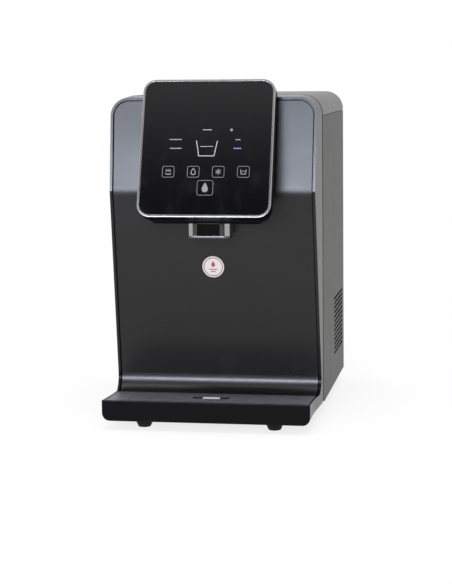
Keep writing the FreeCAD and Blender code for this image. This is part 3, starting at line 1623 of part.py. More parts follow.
def port_places():
    x0, x1, _, _ = recess_bounds()
    middle = (x0 + x1) / 2
    return [middle - PORT_PITCH, middle, middle + PORT_PITCH]


def port_height():
    _, _, z0, z1 = recess_bounds()
    return (z0 + z1) / 2


def recess_floor_y():
    return REAR_Y - RECESS_DEPTH


def water_inlet():
    """Push-fit bulkhead for the supply pipe."""
    wall_back = recess_floor_y() - CASE_WALL
    place = V(port_places()[0], wall_back, port_height())
    barrel = rod(DRAIN_RADIUS, place, place + REARWARD * CASE_WALL)
    nut = hexagon(NUT_SIZE, place - REARWARD * PORT_BARREL, REARWARD * PORT_BARREL)
    collet = rod(PORT_RADIUS, place + REARWARD * CASE_WALL, place + REARWARD * (CASE_WALL + PORT_REACH))
    mouth = place + REARWARD * (CASE_WALL + PORT_REACH)
    bore = rod(INLET_BORE_RADIUS, mouth - REARWARD * INLET_BORE_DEPTH, mouth + REARWARD)
    return joined([barrel, nut, collet]).cut(bore)


def drain_outlets():
    """Drain stubs of the cold and the hot tank."""
    stubs = []
    wall_back = recess_floor_y() - CASE_WALL
    for x in port_places()[1:]:
        place = V(x, wall_back, port_height())
        barrel = rod(DRAIN_RADIUS, place, place + REARWARD * (CASE_WALL + DRAIN_STUB))
        nut = hexagon(NUT_SIZE, place - REARWARD * PORT_BARREL, REARWARD * PORT_BARREL)
        stubs.append(joined([barrel, nut]))
    return group(stubs)


def drain_cap(x):
    """Cap that pulls off a drain stub."""
    start = V(x, recess_floor_y() + FIT, port_height())
    cap = rod(CAP_RADIUS, start, start + REARWARD * (CAP_LENGTH + 3))
    return cap.cut(rod(DRAIN_RADIUS + FIT, start - REARWARD, start + REARWARD * CAP_LENGTH))


def power_inlet():
    """Three-pole appliance inlet that snaps into the rear panel."""
    z = BASE + SOCKET_CENTRE_HEIGHT
    half_width = SOCKET_WIDTH / 2
    half_height = SOCKET_HEIGHT / 2
    x = SOCKET_CENTRE_X
    flange = prism(
        rectangle(x - half_width, x + half_width, z - half_height, z + half_height, 3),
        front_view(REAR_Y),
        REARWARD * 1.5,
    )
    body = block(
        x - half_width + SWITCH_BEZEL,
        x + half_width - SWITCH_BEZEL,
        REAR_Y - SOCKET_DEPTH,
        REAR_Y,
        z - half_height + SWITCH_BEZEL,
        z + half_height - SWITCH_BEZEL,
    )
    mouth = [
        (x - SOCKET_MOUTH_WIDTH / 2, z - SOCKET_MOUTH_HEIGHT / 2, 0),
        (x + SOCKET_MOUTH_WIDTH / 2, z - SOCKET_MOUTH_HEIGHT / 2, 0),
        (x + SOCKET_MOUTH_WIDTH / 2, z + SOCKET_MOUTH_HEIGHT / 4, 0),
        (x + SOCKET_MOUTH_WIDTH / 3, z + SOCKET_MOUTH_HEIGHT / 2, 0),
        (x - SOCKET_MOUTH_WIDTH / 3, z + SOCKET_MOUTH_HEIGHT / 2, 0),
        (x - SOCKET_MOUTH_WIDTH / 2, z + SOCKET_MOUTH_HEIGHT / 4, 0),
    ]
    cavity = prism(mouth, front_view(REAR_Y + 2), V(0, -SOCKET_MOUTH_DEPTH - 2, 0))
    return joined([flange, body]).cut(cavity)


def switch_heights():
    first = BASE + SOCKET_CENTRE_HEIGHT + SWITCH_PITCH
    return [first, first + SWITCH_PITCH * 0.75]


def switch_bodies():
    """Snap-in housings of the heater and cooling switches."""
    bodies = []
    for z in switch_heights():
        x = SOCKET_CENTRE_X
        half_width = SWITCH_WIDTH / 2
        half_height = SWITCH_HEIGHT / 2
        body = block(
            x - half_width + SWITCH_BEZEL,
            x + half_width - SWITCH_BEZEL,
            REAR_Y - SWITCH_DEPTH,
            REAR_Y,
            z - half_height,
            z + half_height,
        )
        flange = block(
            x - half_width,
            x + half_width,
            REAR_Y,
            REAR_Y + 1.5,
            z - half_height - 2,
            z + half_height + 2,
        )
        mouth = block(
            x - half_width + SWITCH_BEZEL + SWITCH_WALL,
            x + half_width - SWITCH_BEZEL - SWITCH_WALL,
            REAR_Y - SWITCH_MOUTH_DEPTH,
            REAR_Y + 2,
            z - half_height + SWITCH_WALL,
            z + half_height - SWITCH_WALL,
        )
        window_half = ROCKER_PIN_RADIUS + CLOSE_FIT
        pivot_y = REAR_Y - ROCKER_PIVOT_DEPTH
        pin_windows = block(
            x - window_half,
            x + window_half,
            pivot_y - window_half,
            pivot_y + window_half,
            z - half_height - 1,
            z + half_height + 1,
        )
        bodies.append(joined([body, flange]).cut([mouth, pin_windows]))
    return group(bodies)


def rocker(z):
    """Rocker with two slanted pads on a pivot pin, tipped to its on side."""
    x = SOCKET_CENTRE_X
    reach = SWITCH_WIDTH / 2 - SWITCH_BEZEL - SWITCH_WALL - 3 * FIT
    pivot_y = REAR_Y - ROCKER_PIVOT_DEPTH
    crest = pivot_y + 1 + ROCKER_HEIGHT
    rise = math.tan(math.radians(ROCKER_THROW / 2)) * reach
    plan = [
        (x - reach, pivot_y + 1, 0),
        (x + reach, pivot_y + 1, 0),
        (x + reach, crest + rise, 0),
        (x, crest, 0),
        (x - reach, crest + rise, 0),
    ]
    half_height = SWITCH_HEIGHT / 2 - SWITCH_WALL - FIT
    body = prism(plan, top_view(z - half_height), UP * 2 * half_height)
    body.rotate(V(x, pivot_y, z), UP, ROCKER_THROW / 2)
    pivot = V(x, pivot_y, z)
    pin_reach = SWITCH_HEIGHT / 2 - CLOSE_FIT
    pin = rod(ROCKER_PIN_RADIUS, pivot - UP * pin_reach, pivot + UP * pin_reach)
    return joined([body, pin])


def connections():
    caps = [drain_cap(x) for x in port_places()[1:]]
    rockers = [rocker(z) for z in switch_heights()]
    return {
        "water_inlet": water_inlet(),
        "drain_outlets": drain_outlets(),
        "cold_drain_cap": caps[0],
        "hot_drain_cap": caps[1],
        "power_inlet": power_inlet(),
        "switch_bodies": switch_bodies(),
        "heater_switch": rockers[0],
        "cooling_switch": rockers[1],
    }


def chassis():
    return {
        "base_chassis": base_chassis(),
        "feet": feet(),
        "tank_deck": tank_deck(),
    }


# Valves, hoses and control board


def line_places():
    """Heights and lanes of the hot and the cold line behind the head bracket."""
    lane = SEAM_Y - HOSE_LANE
    return lane, BASE + HOT_LINE_HEIGHT, BASE + COLD_LINE_HEIGHT


def valve(centre, coil_axis):
    """Solenoid valve: a square body on the head bracket and a round coil."""
    half = VALVE_BODY / 2
    rear_face = SEAM_Y - BRACKET_REACH + VALVE_DEPTH
    body = block(
        centre.x - half, centre.x + half, SEAM_Y - BRACKET_REACH, rear_face, centre.z - half, centre.z + half
    )
    middle = V(centre.x, rear_face - VALVE_DEPTH / 2, centre.z)
    coil = rod(VALVE_COIL_RADIUS, middle, middle + coil_axis * (half + VALVE_COIL_LENGTH))
    return joined([body, coil])


def hot_valve_centre():
    lane, hot_z, _ = line_places()
    return V(COLD_LANE_X + VALVE_BODY / 2 + 2 * HOSE_RADIUS, lane, hot_z)


def cold_valve_centre():
    lane, _, cold_z = line_places()
    return V(COLD_LANE_X, lane, cold_z + VALVE_BODY / 2 + HOSE_BEND + HOSE_RADIUS)


def outlet_valves():
    return group([valve(hot_valve_centre(), UP), valve(cold_valve_centre(), RIGHT)])


def inlet_valve():
    """Inlet solenoid valve on a stand beside the compressor."""
    x = port_places()[0]
    y0 = FILTER_Y + FILTER_RADIUS + INLET_VALVE_FRONT
    z = port_height()
    half = VALVE_BODY / 2
    body = block(x - half, x + half, y0, y0 + VALVE_BODY, z - half, z + half)
    stand = block(x - half, x + half, y0 + half - SHEET, y0 + half + SHEET, FLOOR_TOP, z - half)
    middle = V(x, y0 + half, z + half)
    coil = rod(VALVE_COIL_RADIUS, middle, middle + UP * VALVE_COIL_LENGTH)
    return joined([body, stand, coil])


def water_hoses():
    """Supply, tank, outlet and drain hoses."""
    lane, hot_z, cold_z = line_places()
    nozzle_y = spout_centre().y
    seat = nozzle_bottom() + NOZZLE_HEIGHT
    half = VALVE_BODY / 2
    left = -NOZZLE_PITCH / 2
    right = NOZZLE_PITCH / 2
    hot = hot_valve_centre()
    cold = cold_valve_centre()
    lid_top = DECK_TOP + FOAM_WALL + COLD_HEIGHT + LID_THICKNESS
    overhead = lid_top + OVERHEAD_GAP
    underside = DECK_TOP - DECK_THICKNESS
    supply_x = port_places()[0]
    port_z = port_height()
    barrel_end = recess_floor_y() - CASE_WALL - PORT_BARREL
    valve_front = FILTER_Y + FILTER_RADIUS + INLET_VALVE_FRONT
    manifold_rear = FILTER_Y + MANIFOLD_DEPTH / 2
    manifold_z = MANIFOLD_TOP - MANIFOLD_HEIGHT / 2
    riser_y = (manifold_rear + valve_front) / 2
    tank_side = filter_places()[2]
    hot_feed = tank_side + HOT_FEED_STEP
    routes = [
        [
            V(right, nozzle_y, seat),
            V(right, nozzle_y, hot_z),
            V(right, lane, hot_z),
            V(hot.x - half, lane, hot_z),
        ],
        [V(hot.x + half, lane, hot_z), V(HOT_X, lane, hot_z), V(HOT_X, HOT_Y - JACKET_RADIUS, hot_z)],
        [
            V(left, nozzle_y, seat),
            V(left, nozzle_y, cold_z),
            V(left, lane, cold_z),
            V(COLD_LANE_X, lane, cold_z),
            V(COLD_LANE_X, lane, cold.z - half),
        ],
        [
            V(COLD_LANE_X, lane, cold.z + half),
            V(COLD_LANE_X, lane, overhead),
            V(COLD_LANE_X, COLD_Y, overhead),
            V(COLD_LANE_X, COLD_Y, lid_top),
        ],
        [V(supply_x, barrel_end, port_z), V(supply_x, valve_front + VALVE_BODY, port_z)],
        [
            V(supply_x, valve_front, port_z),
            V(supply_x, riser_y, port_z),
            V(supply_x, riser_y, manifold_z),
            V(supply_x, manifold_rear, manifold_z),
        ],
        [
            V(tank_side, manifold_rear, manifold_z),
            V(tank_side, manifold_rear + TANK_HOSE_REACH, manifold_z),
            V(tank_side, manifold_rear + TANK_HOSE_REACH, underside),
        ],
        [
            V(hot_feed, manifold_rear, manifold_z),
            V(hot_feed, manifold_rear + HOT_FEED_REACH, manifold_z),
            V(hot_feed, manifold_rear + HOT_FEED_REACH, underside),
        ],
    ]
    drop_y = barrel_end - HOSE_BEND - 1
    for x in port_places()[1:]:
        routes.append([V(x, barrel_end, port_z), V(x, drop_y, port_z), V(x, drop_y, underside)])
    return group([pipe(points) for points in routes])


def board_bounds():
    x0 = filter_places()[2] + FILTER_RADIUS + BOARD_LEFT_GAP
    return x0, INNER_HALF - BOARD_RIGHT_GAP, SEAM_Y + BOARD_TRAY_REACH


def control_board_tray():
    """Folded sheet that stands on the chassis floor behind the control board."""
    x0, x1, y = board_bounds()
    sheet = block(x0, x1, y, y + SHEET, FLOOR_TOP, FLOOR_TOP + BOARD_TRAY_HEIGHT)
    foot = block(x0, x1, y, y + DECK_LEG, FLOOR_TOP, FLOOR_TOP + SHEET)
    return joined([sheet, foot])


def control_board():
    """Board on four standoffs with its transformer, relays and plugs."""
    x0, x1, y = board_bounds()
    left = x0 + CONTROL_BOARD_MARGIN
    right = x1 - CONTROL_BOARD_MARGIN
    top = FLOOR_TOP + BOARD_TRAY_HEIGHT - 2 * CONTROL_BOARD_MARGIN
    bottom = top - CONTROL_BOARD_HEIGHT
    back = y - STANDOFF
    front = back - BOARD_THICKNESS
    pieces = [block(left, right, front, back, bottom, top)]
    post = BOARD_POST
    for x in (left + 3, right - 3 - post):
        for z in (bottom + 3, top - 3 - post):
            pieces.append(block(x, x + post, back, y, z, z + post))
    depth = BOARD_TRAY_REACH - STANDOFF - BOARD_THICKNESS - TRANSFORMER_CLEARANCE
    low = bottom + 12
    pieces.append(block(left + 6, left + 6 + TRANSFORMER_SIZE, front - depth, front, low, low + TRANSFORMER_SIZE))
    relay_left = right - 8 - RELAY_SIZE
    for index in range(3):
        z = low + TRANSFORMER_SIZE + RELAY_SIZE + index * 1.4 * RELAY_SIZE
        pieces.append(block(relay_left, right - 8, front - RELAY_SIZE / 2, front, z, z + RELAY_SIZE))
    pieces.append(block(left + 8, left + 8 + PLUG_WIDTH, front - PLUG_DEPTH, front, top - 22, top - 22 + PLUG_HEIGHT))
    return joined(pieces)


def waterworks():
    return {
        "inlet_valve": inlet_valve(),
        "outlet_valves": outlet_valves(),
        "water_hoses": water_hoses(),
        "control_board_tray": control_board_tray(),
        "control_board": control_board(),
    }


def main():
    os.makedirs("parts", exist_ok=True)
    pieces = {}
    for section in (casing, chassis, cooling, tanks, filters, head, tray, connections, waterworks):
        pieces.update(section())
    for name, shape in pieces.items():
        shape.exportStep(f"parts/{name}.step")
    print(len(pieces), "pieces")


main()
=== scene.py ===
"""Finishes and fine detail for a countertop water dispenser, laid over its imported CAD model."""

import json
import math

import bmesh
import bpy
from bpy.props import FloatProperty, FloatVectorProperty, PointerProperty
from mathutils import Matrix, Vector

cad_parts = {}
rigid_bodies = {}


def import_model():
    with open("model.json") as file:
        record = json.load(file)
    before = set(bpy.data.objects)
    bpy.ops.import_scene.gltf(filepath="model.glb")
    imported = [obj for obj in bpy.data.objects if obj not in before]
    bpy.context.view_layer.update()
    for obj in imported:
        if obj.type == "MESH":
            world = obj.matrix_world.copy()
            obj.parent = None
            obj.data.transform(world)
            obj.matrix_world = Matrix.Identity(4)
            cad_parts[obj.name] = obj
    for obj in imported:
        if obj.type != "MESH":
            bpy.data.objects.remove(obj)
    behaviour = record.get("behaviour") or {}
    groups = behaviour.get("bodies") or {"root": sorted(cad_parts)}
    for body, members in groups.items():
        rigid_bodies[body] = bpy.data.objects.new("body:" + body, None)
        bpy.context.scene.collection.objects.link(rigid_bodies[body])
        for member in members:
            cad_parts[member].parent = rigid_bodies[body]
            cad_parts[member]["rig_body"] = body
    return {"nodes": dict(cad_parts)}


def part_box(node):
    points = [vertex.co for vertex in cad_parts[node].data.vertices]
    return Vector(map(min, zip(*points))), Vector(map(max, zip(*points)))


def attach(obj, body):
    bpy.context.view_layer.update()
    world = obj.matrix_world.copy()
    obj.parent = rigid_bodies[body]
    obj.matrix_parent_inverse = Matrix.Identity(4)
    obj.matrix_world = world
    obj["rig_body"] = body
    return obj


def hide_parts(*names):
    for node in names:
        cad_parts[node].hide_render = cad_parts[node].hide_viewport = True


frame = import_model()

bl_info = {
    "name": "Water Dispenser Finishes",
    "version": (1, 0, 0),
    "blender": (4, 5, 0),
    "location": "View3D > Sidebar > Dispenser",
    "description": "Dresses a countertop water dispenser with moulded detail, print and finishes",
    "category": "Object",
}

MM = 0.001
PHOTO_WIDTH, PHOTO_HEIGHT = 452, 584
COOL = (0.8, 0.86, 1.0)
WHITE = (1.0, 1.0, 1.0)
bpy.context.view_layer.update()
NODES = frame["nodes"]
SLOTS = {name: node.data.materials[0].name for name, node in NODES.items()}

# Sizes that the case and the head have in the CAD model
HEAD_CENTRE = Vector((0.0, -164.35, 366.1)) * MM
HEAD_TILT = math.radians(19.07)
GLASS_HEIGHT = 178.6 * MM
FACET_ANGLE = math.atan(0.169)
CASE_CORNER = 26.0 * MM
SPOUT_DARK_HALF = 15.0 * MM
SPOUT_LIP_HEIGHT = 2.5 * MM
FRAME_TAPER = 4.0 * MM
FRAME_TAPER_DEPTH = 1.3 * MM
FRAME_FRONT_RADIUS = 2.0 * MM
GRILLE_GROWTH = 0.6 * MM

# Marks on the glass in millimetres, across from its centre and down from its top
KEY_COLUMNS = (-48.1, -15.4, 17.2, 49.8)
KEY_ROW = 121.5
STATUS_BARS = ((-5.4, 6.6, 65.5), (-48.2, -31.9, 78.4), (-47.6, -31.8, 90.3), (38.1, 44.4, 78.8))
FILTER_BAR = (35.9, 46.1, 90.4)

# Underside and top of the printed layers over the glass and the label, in millimetres
GLASS_PRINT = (0.0, 0.06)
LABEL_PRINT = (0.0, 0.05)


# Shader maths


class Signal:
    """Output of a node that Python's operators turn into Math nodes."""

    def __init__(self, recipe, socket):
        self.recipe = recipe
        self.socket = socket

    def maths(self, operation, first, second=None):
        values = {0: first} if second is None else {0: first, 1: second}
        return self.recipe.node("ShaderNodeMath", {"operation": operation}, values)

    def __add__(self, other):
        return self.maths("ADD", self, other)

    def __rsub__(self, other):
        return self.maths("SUBTRACT", other, self)

    def __mul__(self, other):
        return self.maths("MULTIPLY", self, other)

    def __abs__(self):
        return self.maths("ABSOLUTE", self)

    __radd__ = __add__
    __rmul__ = __mul__


class Recipe:
    """Node tree that a finish or the room light is written in."""

    def __init__(self, tree):
        self.tree = tree

    def node(self, kind, settings=None, values=None, output=0):
        made = self.tree.nodes.new(kind)
        for name, value in (settings or {}).items():
            if name == "stops":
                self.set_stops(made.color_ramp, value)
            else:
                setattr(made, name, value)
        for name, value in (values or {}).items():
            self.feed(made.inputs[name], value)
        return Signal(self, made.outputs[output])

    def set_stops(self, ramp, stops):
        while len(ramp.elements) < len(stops):
            ramp.elements.new(1.0)
        for element, (place, level) in zip(ramp.elements, stops):
            element.position = place
            element.color = (level, level, level, 1.0)

    def feed(self, socket, value):
        if isinstance(value, Signal):
            self.tree.links.new(value.socket, socket)
        elif socket.type == "RGBA" and len(value) == 3:
            socket.default_value = (*value, 1.0)
        else:
            socket.default_value = value

    def place(self, stretch=(1.0, 1.0, 1.0)):
        """Object coordinates in metres, stretched along the axes."""
        where = self.node("ShaderNodeTexCoord", output="Object")
        if stretch == (1.0, 1.0, 1.0):
            return where
        return self.node("ShaderNodeMapping", None, {"Vector": where, "Scale": stretch})

    def noise(self, size, detail=2.0, stretch=(1.0, 1.0, 1.0)):
        """Cloudy pattern whose lumps are about the given size in metres."""
        values = {"Vector": self.place(stretch), "Scale": 1.0 / size, "Detail": detail}
        return self.node("ShaderNodeTexNoise", None, values, "Fac")

    def cells(self, size, output="Distance"):
        values = {"Vector": self.place(), "Scale": 1.0 / size}
        return self.node("ShaderNodeTexVoronoi", None, values, output)

    def ramp(self, signal, *stops):
        return self.node("ShaderNodeValToRGB", {"stops": stops}, {"Fac": signal}, "Color")

    def mix(self, share, first, second):
        """Colour between two colours."""
        values = {"Factor": share, 6: first, 7: second}
        return self.node("ShaderNodeMix", {"data_type": "RGBA"}, values, 2)

    def bump(self, height, depth):
        return self.node("ShaderNodeBump", None, {"Height": height, "Distance": depth}, "Normal")

    def fading(self, signal, start, end, first=1.0, last=0.0):
        """Passes smoothly from one level to another between two values of a signal."""
        values = {"Value": signal, "From Min": start, "From Max": end, "To Min": first, "To Max": last}
        return self.node("ShaderNodeMapRange", {"interpolation_type": "SMOOTHSTEP"}, values)

    def mirrored_too(self):
        """1 for what the camera sees, also in a mirror or through glass, and 0 for light."""
        seen = self.node("ShaderNodeLightPath", output="Is Camera Ray")
        path = seen.socket.node.outputs
        return seen + Signal(self, path["Is Glossy Ray"]) + Signal(self, path["Is Transmission Ray"])


class Finish(Recipe):
    """Material whose Principled shader takes plain values or signals."""

    def __init__(self, name):
        self.material = bpy.data.materials.new(name)
        self.material.use_nodes = True
        super().__init__(self.material.node_tree)
        self.shader = self.tree.nodes["Principled BSDF"]

    def set(self, **values):
        for name, value in values.items():
            self.feed(self.shader.inputs[name.replace("_", " ").title().replace("Ior", "IOR")], value)
        return self.material


def shade(colour, factor):
    return tuple(min(1.0, part * factor) for part in colour[:3])


# Finishes


def gloss_plastic(name, colour, roughness, specular=0.5):
    """Polished moulding with faint swirls and the slight waviness of a moulded face."""
    finish = Finish(name)
    cloud = finish.noise(0.03, 3.0)
    swirl = finish.noise(0.004, 4.0)
    wave = finish.noise(0.02, 1.0)
    return finish.set(
        Base_Color=finish.mix(cloud, shade(colour, 0.85), shade(colour, 1.2)),
        Roughness=roughness * 0.92 + roughness * 0.16 * cloud + 0.02 * swirl,
        Specular_IOR_Level=specular,
        Normal=finish.bump(wave + 0.1 * swirl, 0.00001),
    )


def satin_paint(name, colour, roughness, specular=0.5):
    """Sprayed finish with fine flakes under a soft sheen."""
    finish = Finish(name)
    flake = finish.cells(0.0007, "Color")
    cloud = finish.noise(0.06, 4.0, (0.7, 1.0, 1.6))
    grain = finish.noise(0.0023, 1.0)
    return finish.set(
        Base_Color=finish.mix(0.25 * flake + 0.5 * cloud, shade(colour, 0.8), shade(colour, 1.25)),
        Roughness=roughness * 0.8 + roughness * 0.4 * cloud,
        Specular_IOR_Level=specular,
        Normal=finish.bump(grain, 0.000006),
    )


def grained_plastic(name, colour, roughness=0.5, grain=0.0006, depth=0.00006):
    """Moulded plastic with a fine spark-eroded grain."""
    finish = Finish(name)
    texture = finish.noise(grain, 3.0)
    cloud = finish.noise(0.04, 2.0)
    return finish.set(
        Base_Color=finish.mix(cloud, shade(colour, 0.85), shade(colour, 1.15)),
        Roughness=roughness * 0.85 + roughness * 0.3 * texture,
        Normal=finish.bump(texture, depth),
    )


def streaked_plastic(name, colour, roughness):
    """Moulded plastic with light scuffs and water marks that run across it."""
    finish = Finish(name)
    streak = finish.ramp(finish.noise(0.005, 3.0, (0.3, 1.3, 1.0)), (0.35, 0.0), (0.7, 1.0))
    grain = finish.noise(0.0005, 3.0)
    return finish.set(
        Base_Color=finish.mix(streak, shade(colour, 0.6), shade(colour, 1.35)),
        Roughness=roughness * 0.85 + roughness * 0.3 * grain,
        Normal=finish.bump(grain, 0.00003),
    )


def rubber(name, colour):
    """Dull rubber with a dusty bloom and a coarse skin."""
    finish = Finish(name)
    dust = finish.ramp(finish.noise(0.006, 4.0), (0.45, 0.0), (0.8, 1.0))
    skin = finish.noise(0.0012, 4.0)
    return finish.set(
        Base_Color=finish.mix(0.3 * dust, colour, shade(colour, 2.0)),
        Roughness=0.72 + 0.2 * skin,
        Specular_IOR_Level=0.25,
        Normal=finish.bump(skin, 0.00012),
    )


def spangled_sheet(name, colour):
    """Galvanised sheet with its crystal spangle."""
    finish = Finish(name)
    crystal = finish.cells(0.009, "Color")
    rolling = finish.noise(0.002, 3.0, (1.0, 1.0, 12.0))
    return finish.set(
        Base_Color=finish.mix(0.35 * crystal + 0.3 * rolling, shade(colour, 0.75), shade(colour, 1.1)),
        Metallic=0.9,
        Roughness=0.3 + 0.22 * crystal + 0.06 * rolling,
        Normal=finish.bump(rolling, 0.00002),
    )


def drawn_metal(name, colour, roughness, stretch=(1.0, 1.0, 14.0), tarnish=0.2):
    """Bare metal with draw marks and a little tarnish."""
    finish = Finish(name)
    marks = finish.noise(0.0012, 3.0, stretch)
    stain = finish.ramp(finish.noise(0.018, 4.0), (0.4, 0.0), (0.75, 1.0))
    return finish.set(
        Base_Color=finish.mix(tarnish * stain, colour, shade(colour, 0.45)),
        Metallic=1.0,
        Roughness=roughness + 0.12 * marks + 0.1 * stain,
        Normal=finish.bump(marks, 0.00001),
    )


def bright_chrome(name, colour, roughness=0.07):
    """Plated surface with faint wiping marks."""
    finish = Finish(name)
    wipe = finish.noise(0.006, 4.0, (1.0, 1.0, 4.0))
    return finish.set(
        Base_Color=colour,
        Metallic=1.0,
        Roughness=roughness + 0.5 * roughness * wipe,
        Normal=finish.bump(wipe, 0.000008),
    )


def foam(name, colour):
    """Moulded foam with burst cells on its skin, whose pits are also painted darker as painted shade."""
    finish = Finish(name)
    cell = finish.cells(0.0028)
    pit_and_shade = finish.ramp(cell, (0.0, 0.0), (0.5, 1.0))
    cloud = finish.noise(0.03, 3.0)
    return finish.set(
        # Painted shade: the pits are darker in colour, not only sunk by the bump.
        Base_Color=finish.mix(0.5 * pit_and_shade + 0.3 * cloud, shade(colour, 0.8), colour),
        Roughness=0.85 + 0.1 * cloud,
        Normal=finish.bump(pit_and_shade, 0.0003),
    )


def circuit_board(name, colour):
    """Solder resist over copper tracks that run square to each other."""
    finish = Finish(name)
    tracks = {"Vector": finish.place((1.0, 0.0, 1.0)), "Scale": 90.0, "Mortar Size": 0.03}
    across = finish.node("ShaderNodeTexBrick", None, tracks, "Fac")
    cloud = finish.noise(0.01, 3.0)
    return finish.set(
        Base_Color=finish.mix(across, shade(colour, 0.8), shade(colour, 1.7)),
        Roughness=0.32 + 0.15 * cloud,
        Normal=finish.bump(across, 0.00006),
    )


def dark_glass(name, colour):
    """Black-backed touch glass with a few faint finger marks."""
    finish = Finish(name)
    smear = finish.ramp(finish.noise(0.02, 5.0, (1.0, 0.6, 0.6)), (0.5, 0.0), (0.8, 1.0))
    return finish.set(
        Base_Color=finish.mix(smear, colour, shade(colour, 1.5)),
        Roughness=0.05 + 0.08 * smear,
        Specular_IOR_Level=0.5,
    )


def print_ink(name, colour, glow=0.0):
    """Screen-printed line, thinner in places, with a glow of the given strength: a painted glow on plain ink,
    the light of its lamp on a lit indicator.
    """
    finish = Finish(name)
    patch = finish.noise(0.0016, 3.0)
    return finish.set(
        Base_Color=finish.mix(patch, shade(colour, 0.85), colour),
        Roughness=0.35 + 0.15 * patch,
        Emission_Color=colour,
        Emission_Strength=glow,
    )


def paper(name, colour):
    """Coated label paper."""
    finish = Finish(name)
    fibre = finish.noise(0.0008, 4.0)
    return finish.set(
        Base_Color=finish.mix(fibre, shade(colour, 0.94), colour),
        Roughness=0.4 + 0.15 * fibre,
        Normal=finish.bump(fibre, 0.00002),
    )


def lamp_lens(name, colour):
    """Quartz window over a small violet lamp."""
    finish = Finish(name)
    haze = finish.noise(0.002, 3.0)
    return finish.set(
        Base_Color=finish.mix(haze, colour, shade(colour, 1.3)),
        Roughness=0.08 + 0.1 * haze,
        Emission_Color=(0.35, 0.2, 0.9),
        Emission_Strength=0.15,
    )


def make_finishes():
    """One material for each slot of the CAD model, and for the printed marks."""
    casing = bpy.context.scene.dispenser_casing
    head = bpy.context.scene.dispenser_head
    return {
        "gloss_black": gloss_plastic(
            "gloss_black_moulding", casing.gloss_colour, casing.gloss_roughness, 0.08),
        "gloss_lip": gloss_plastic("gloss_black_lip", casing.gloss_colour, 0.22, 0.36),
        "gloss_cover": gloss_plastic("gloss_cover", casing.gloss_colour, 0.25, 0.068),
        "head_gloss": gloss_plastic("head_shell_moulding", casing.gloss_colour, 0.3, 0.02),
        "gloss_side": gloss_plastic("gloss_side_panel", casing.side_colour, 0.35, 0.058),
        "gloss_grey": gloss_plastic("gloss_grey_moulding", (0.016, 0.016, 0.018), 0.35, 0.3),
        "satin_grey": satin_paint("satin_front_panel", casing.panel_colour, casing.panel_roughness, 0.35),
        "matte_black": grained_plastic("matte_black_sheet", (0.022, 0.022, 0.024)),
        "tray_black": gloss_plastic("tray_black_moulding", (0.006, 0.006, 0.008), 0.3, 0.3),
        "rubber_black": rubber("rubber_black", (0.008, 0.008, 0.008)),
        "zinc_sheet": spangled_sheet("zinc_sheet", (0.62, 0.63, 0.64)),
        "screw_steel": drawn_metal("screw_steel", (0.56, 0.56, 0.58), 0.28),
        "compressor_black": satin_paint("compressor_enamel", (0.012, 0.012, 0.013), 0.34),
        "aluminium": drawn_metal("mill_aluminium", (0.78, 0.79, 0.8), 0.26),
        "copper_line": drawn_metal("copper_pipe", (0.72, 0.35, 0.2), 0.24, tarnish=0.5),
        "stainless": drawn_metal("drawn_stainless", (0.6, 0.6, 0.61), 0.2),
        "heater_steel": drawn_metal("heater_band_steel", (0.45, 0.42, 0.4), 0.34, tarnish=0.6),
        "foam_white": foam("white_foam", (0.82, 0.8, 0.75)),
        "jacket_grey": foam("grey_jacket_foam", (0.2, 0.2, 0.21)),
        "thermostat_black": grained_plastic("thermostat_resin", (0.03, 0.028, 0.026), 0.4),
        "white_plastic": grained_plastic("white_plastic", (0.75, 0.75, 0.73), 0.38),
        "glass_black": dark_glass("black_touch_glass", head.glass_colour),
        "chrome": bright_chrome("bright_chrome", head.rim_colour, 0.12),
        "spout_chrome": bright_chrome("spout_chrome", shade(head.rim_colour, 0.82), 0.03),
        # Painted reflection: a dull dark grey in place of chrome, for the band the sleeve mirrors beside its
        # middle.
        "flank_painted_reflection": gloss_plastic("flank_painted_reflection", (0.03, 0.029, 0.027), 0.4, 0.1),
        # Painted shade: a much darker copy of the spout's chrome, for its lip.
        "shaded_spout_lip": bright_chrome("shaded_spout_lip", shade(head.rim_colour, 0.24), 0.2),
        # Painted shade: a much darker copy of the rim's chrome, for the rim's sides.
        "shaded_rim_side": bright_chrome("shaded_rim_side", shade(head.rim_colour, 0.18), 0.2),
        "grille_grey": streaked_plastic("grille_grey", (0.088, 0.093, 0.11), 0.42),
        "board_green": circuit_board("green_board", (0.02, 0.14, 0.07)),
        "foam_dark": foam("dark_pad_foam", (0.05, 0.05, 0.055)),
        "lamp_glass": lamp_lens("lamp_window", (0.5, 0.45, 0.7)),
        "label_white": paper("label_paper", (0.72, 0.7, 0.71)),
        "cap_blue": grained_plastic("blue_cap", (0.03, 0.14, 0.55), 0.4),
        "cap_red": grained_plastic("red_cap", (0.6, 0.03, 0.025), 0.4),
        "hose_white": grained_plastic("silicone_hose", (0.72, 0.74, 0.76), 0.3, 0.002, 0.00003),
        # These ink finishes glow a little though they are no lamp, a painted glow; the lit indicator's glow
        # below is its lamp.
        "print": print_ink("white_print", head.print_colour, 0.1),
        "faint_print": print_ink("faint_print", shade(head.print_colour, 0.45), 0.08),
        "grey_print": print_ink("grey_print", shade(head.print_colour, 0.42), 0.05),
        "indicator": print_ink("lit_indicator", head.indicator_colour, 1.2),
        "red_print": print_ink("red_print", (0.42, 0.03, 0.035)),
        "relay_resin": grained_plastic("relay_resin", (0.015, 0.02, 0.03), 0.35),
        "brass": drawn_metal("contact_brass", (0.78, 0.62, 0.34), 0.2),
    }


FINISHES = {}


def finish_named(name):
    if not FINISHES:
        FINISHES.update(make_finishes())
    return FINISHES[name]


# Modelling helpers


def body_of(node):
    return NODES[node]["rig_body"]


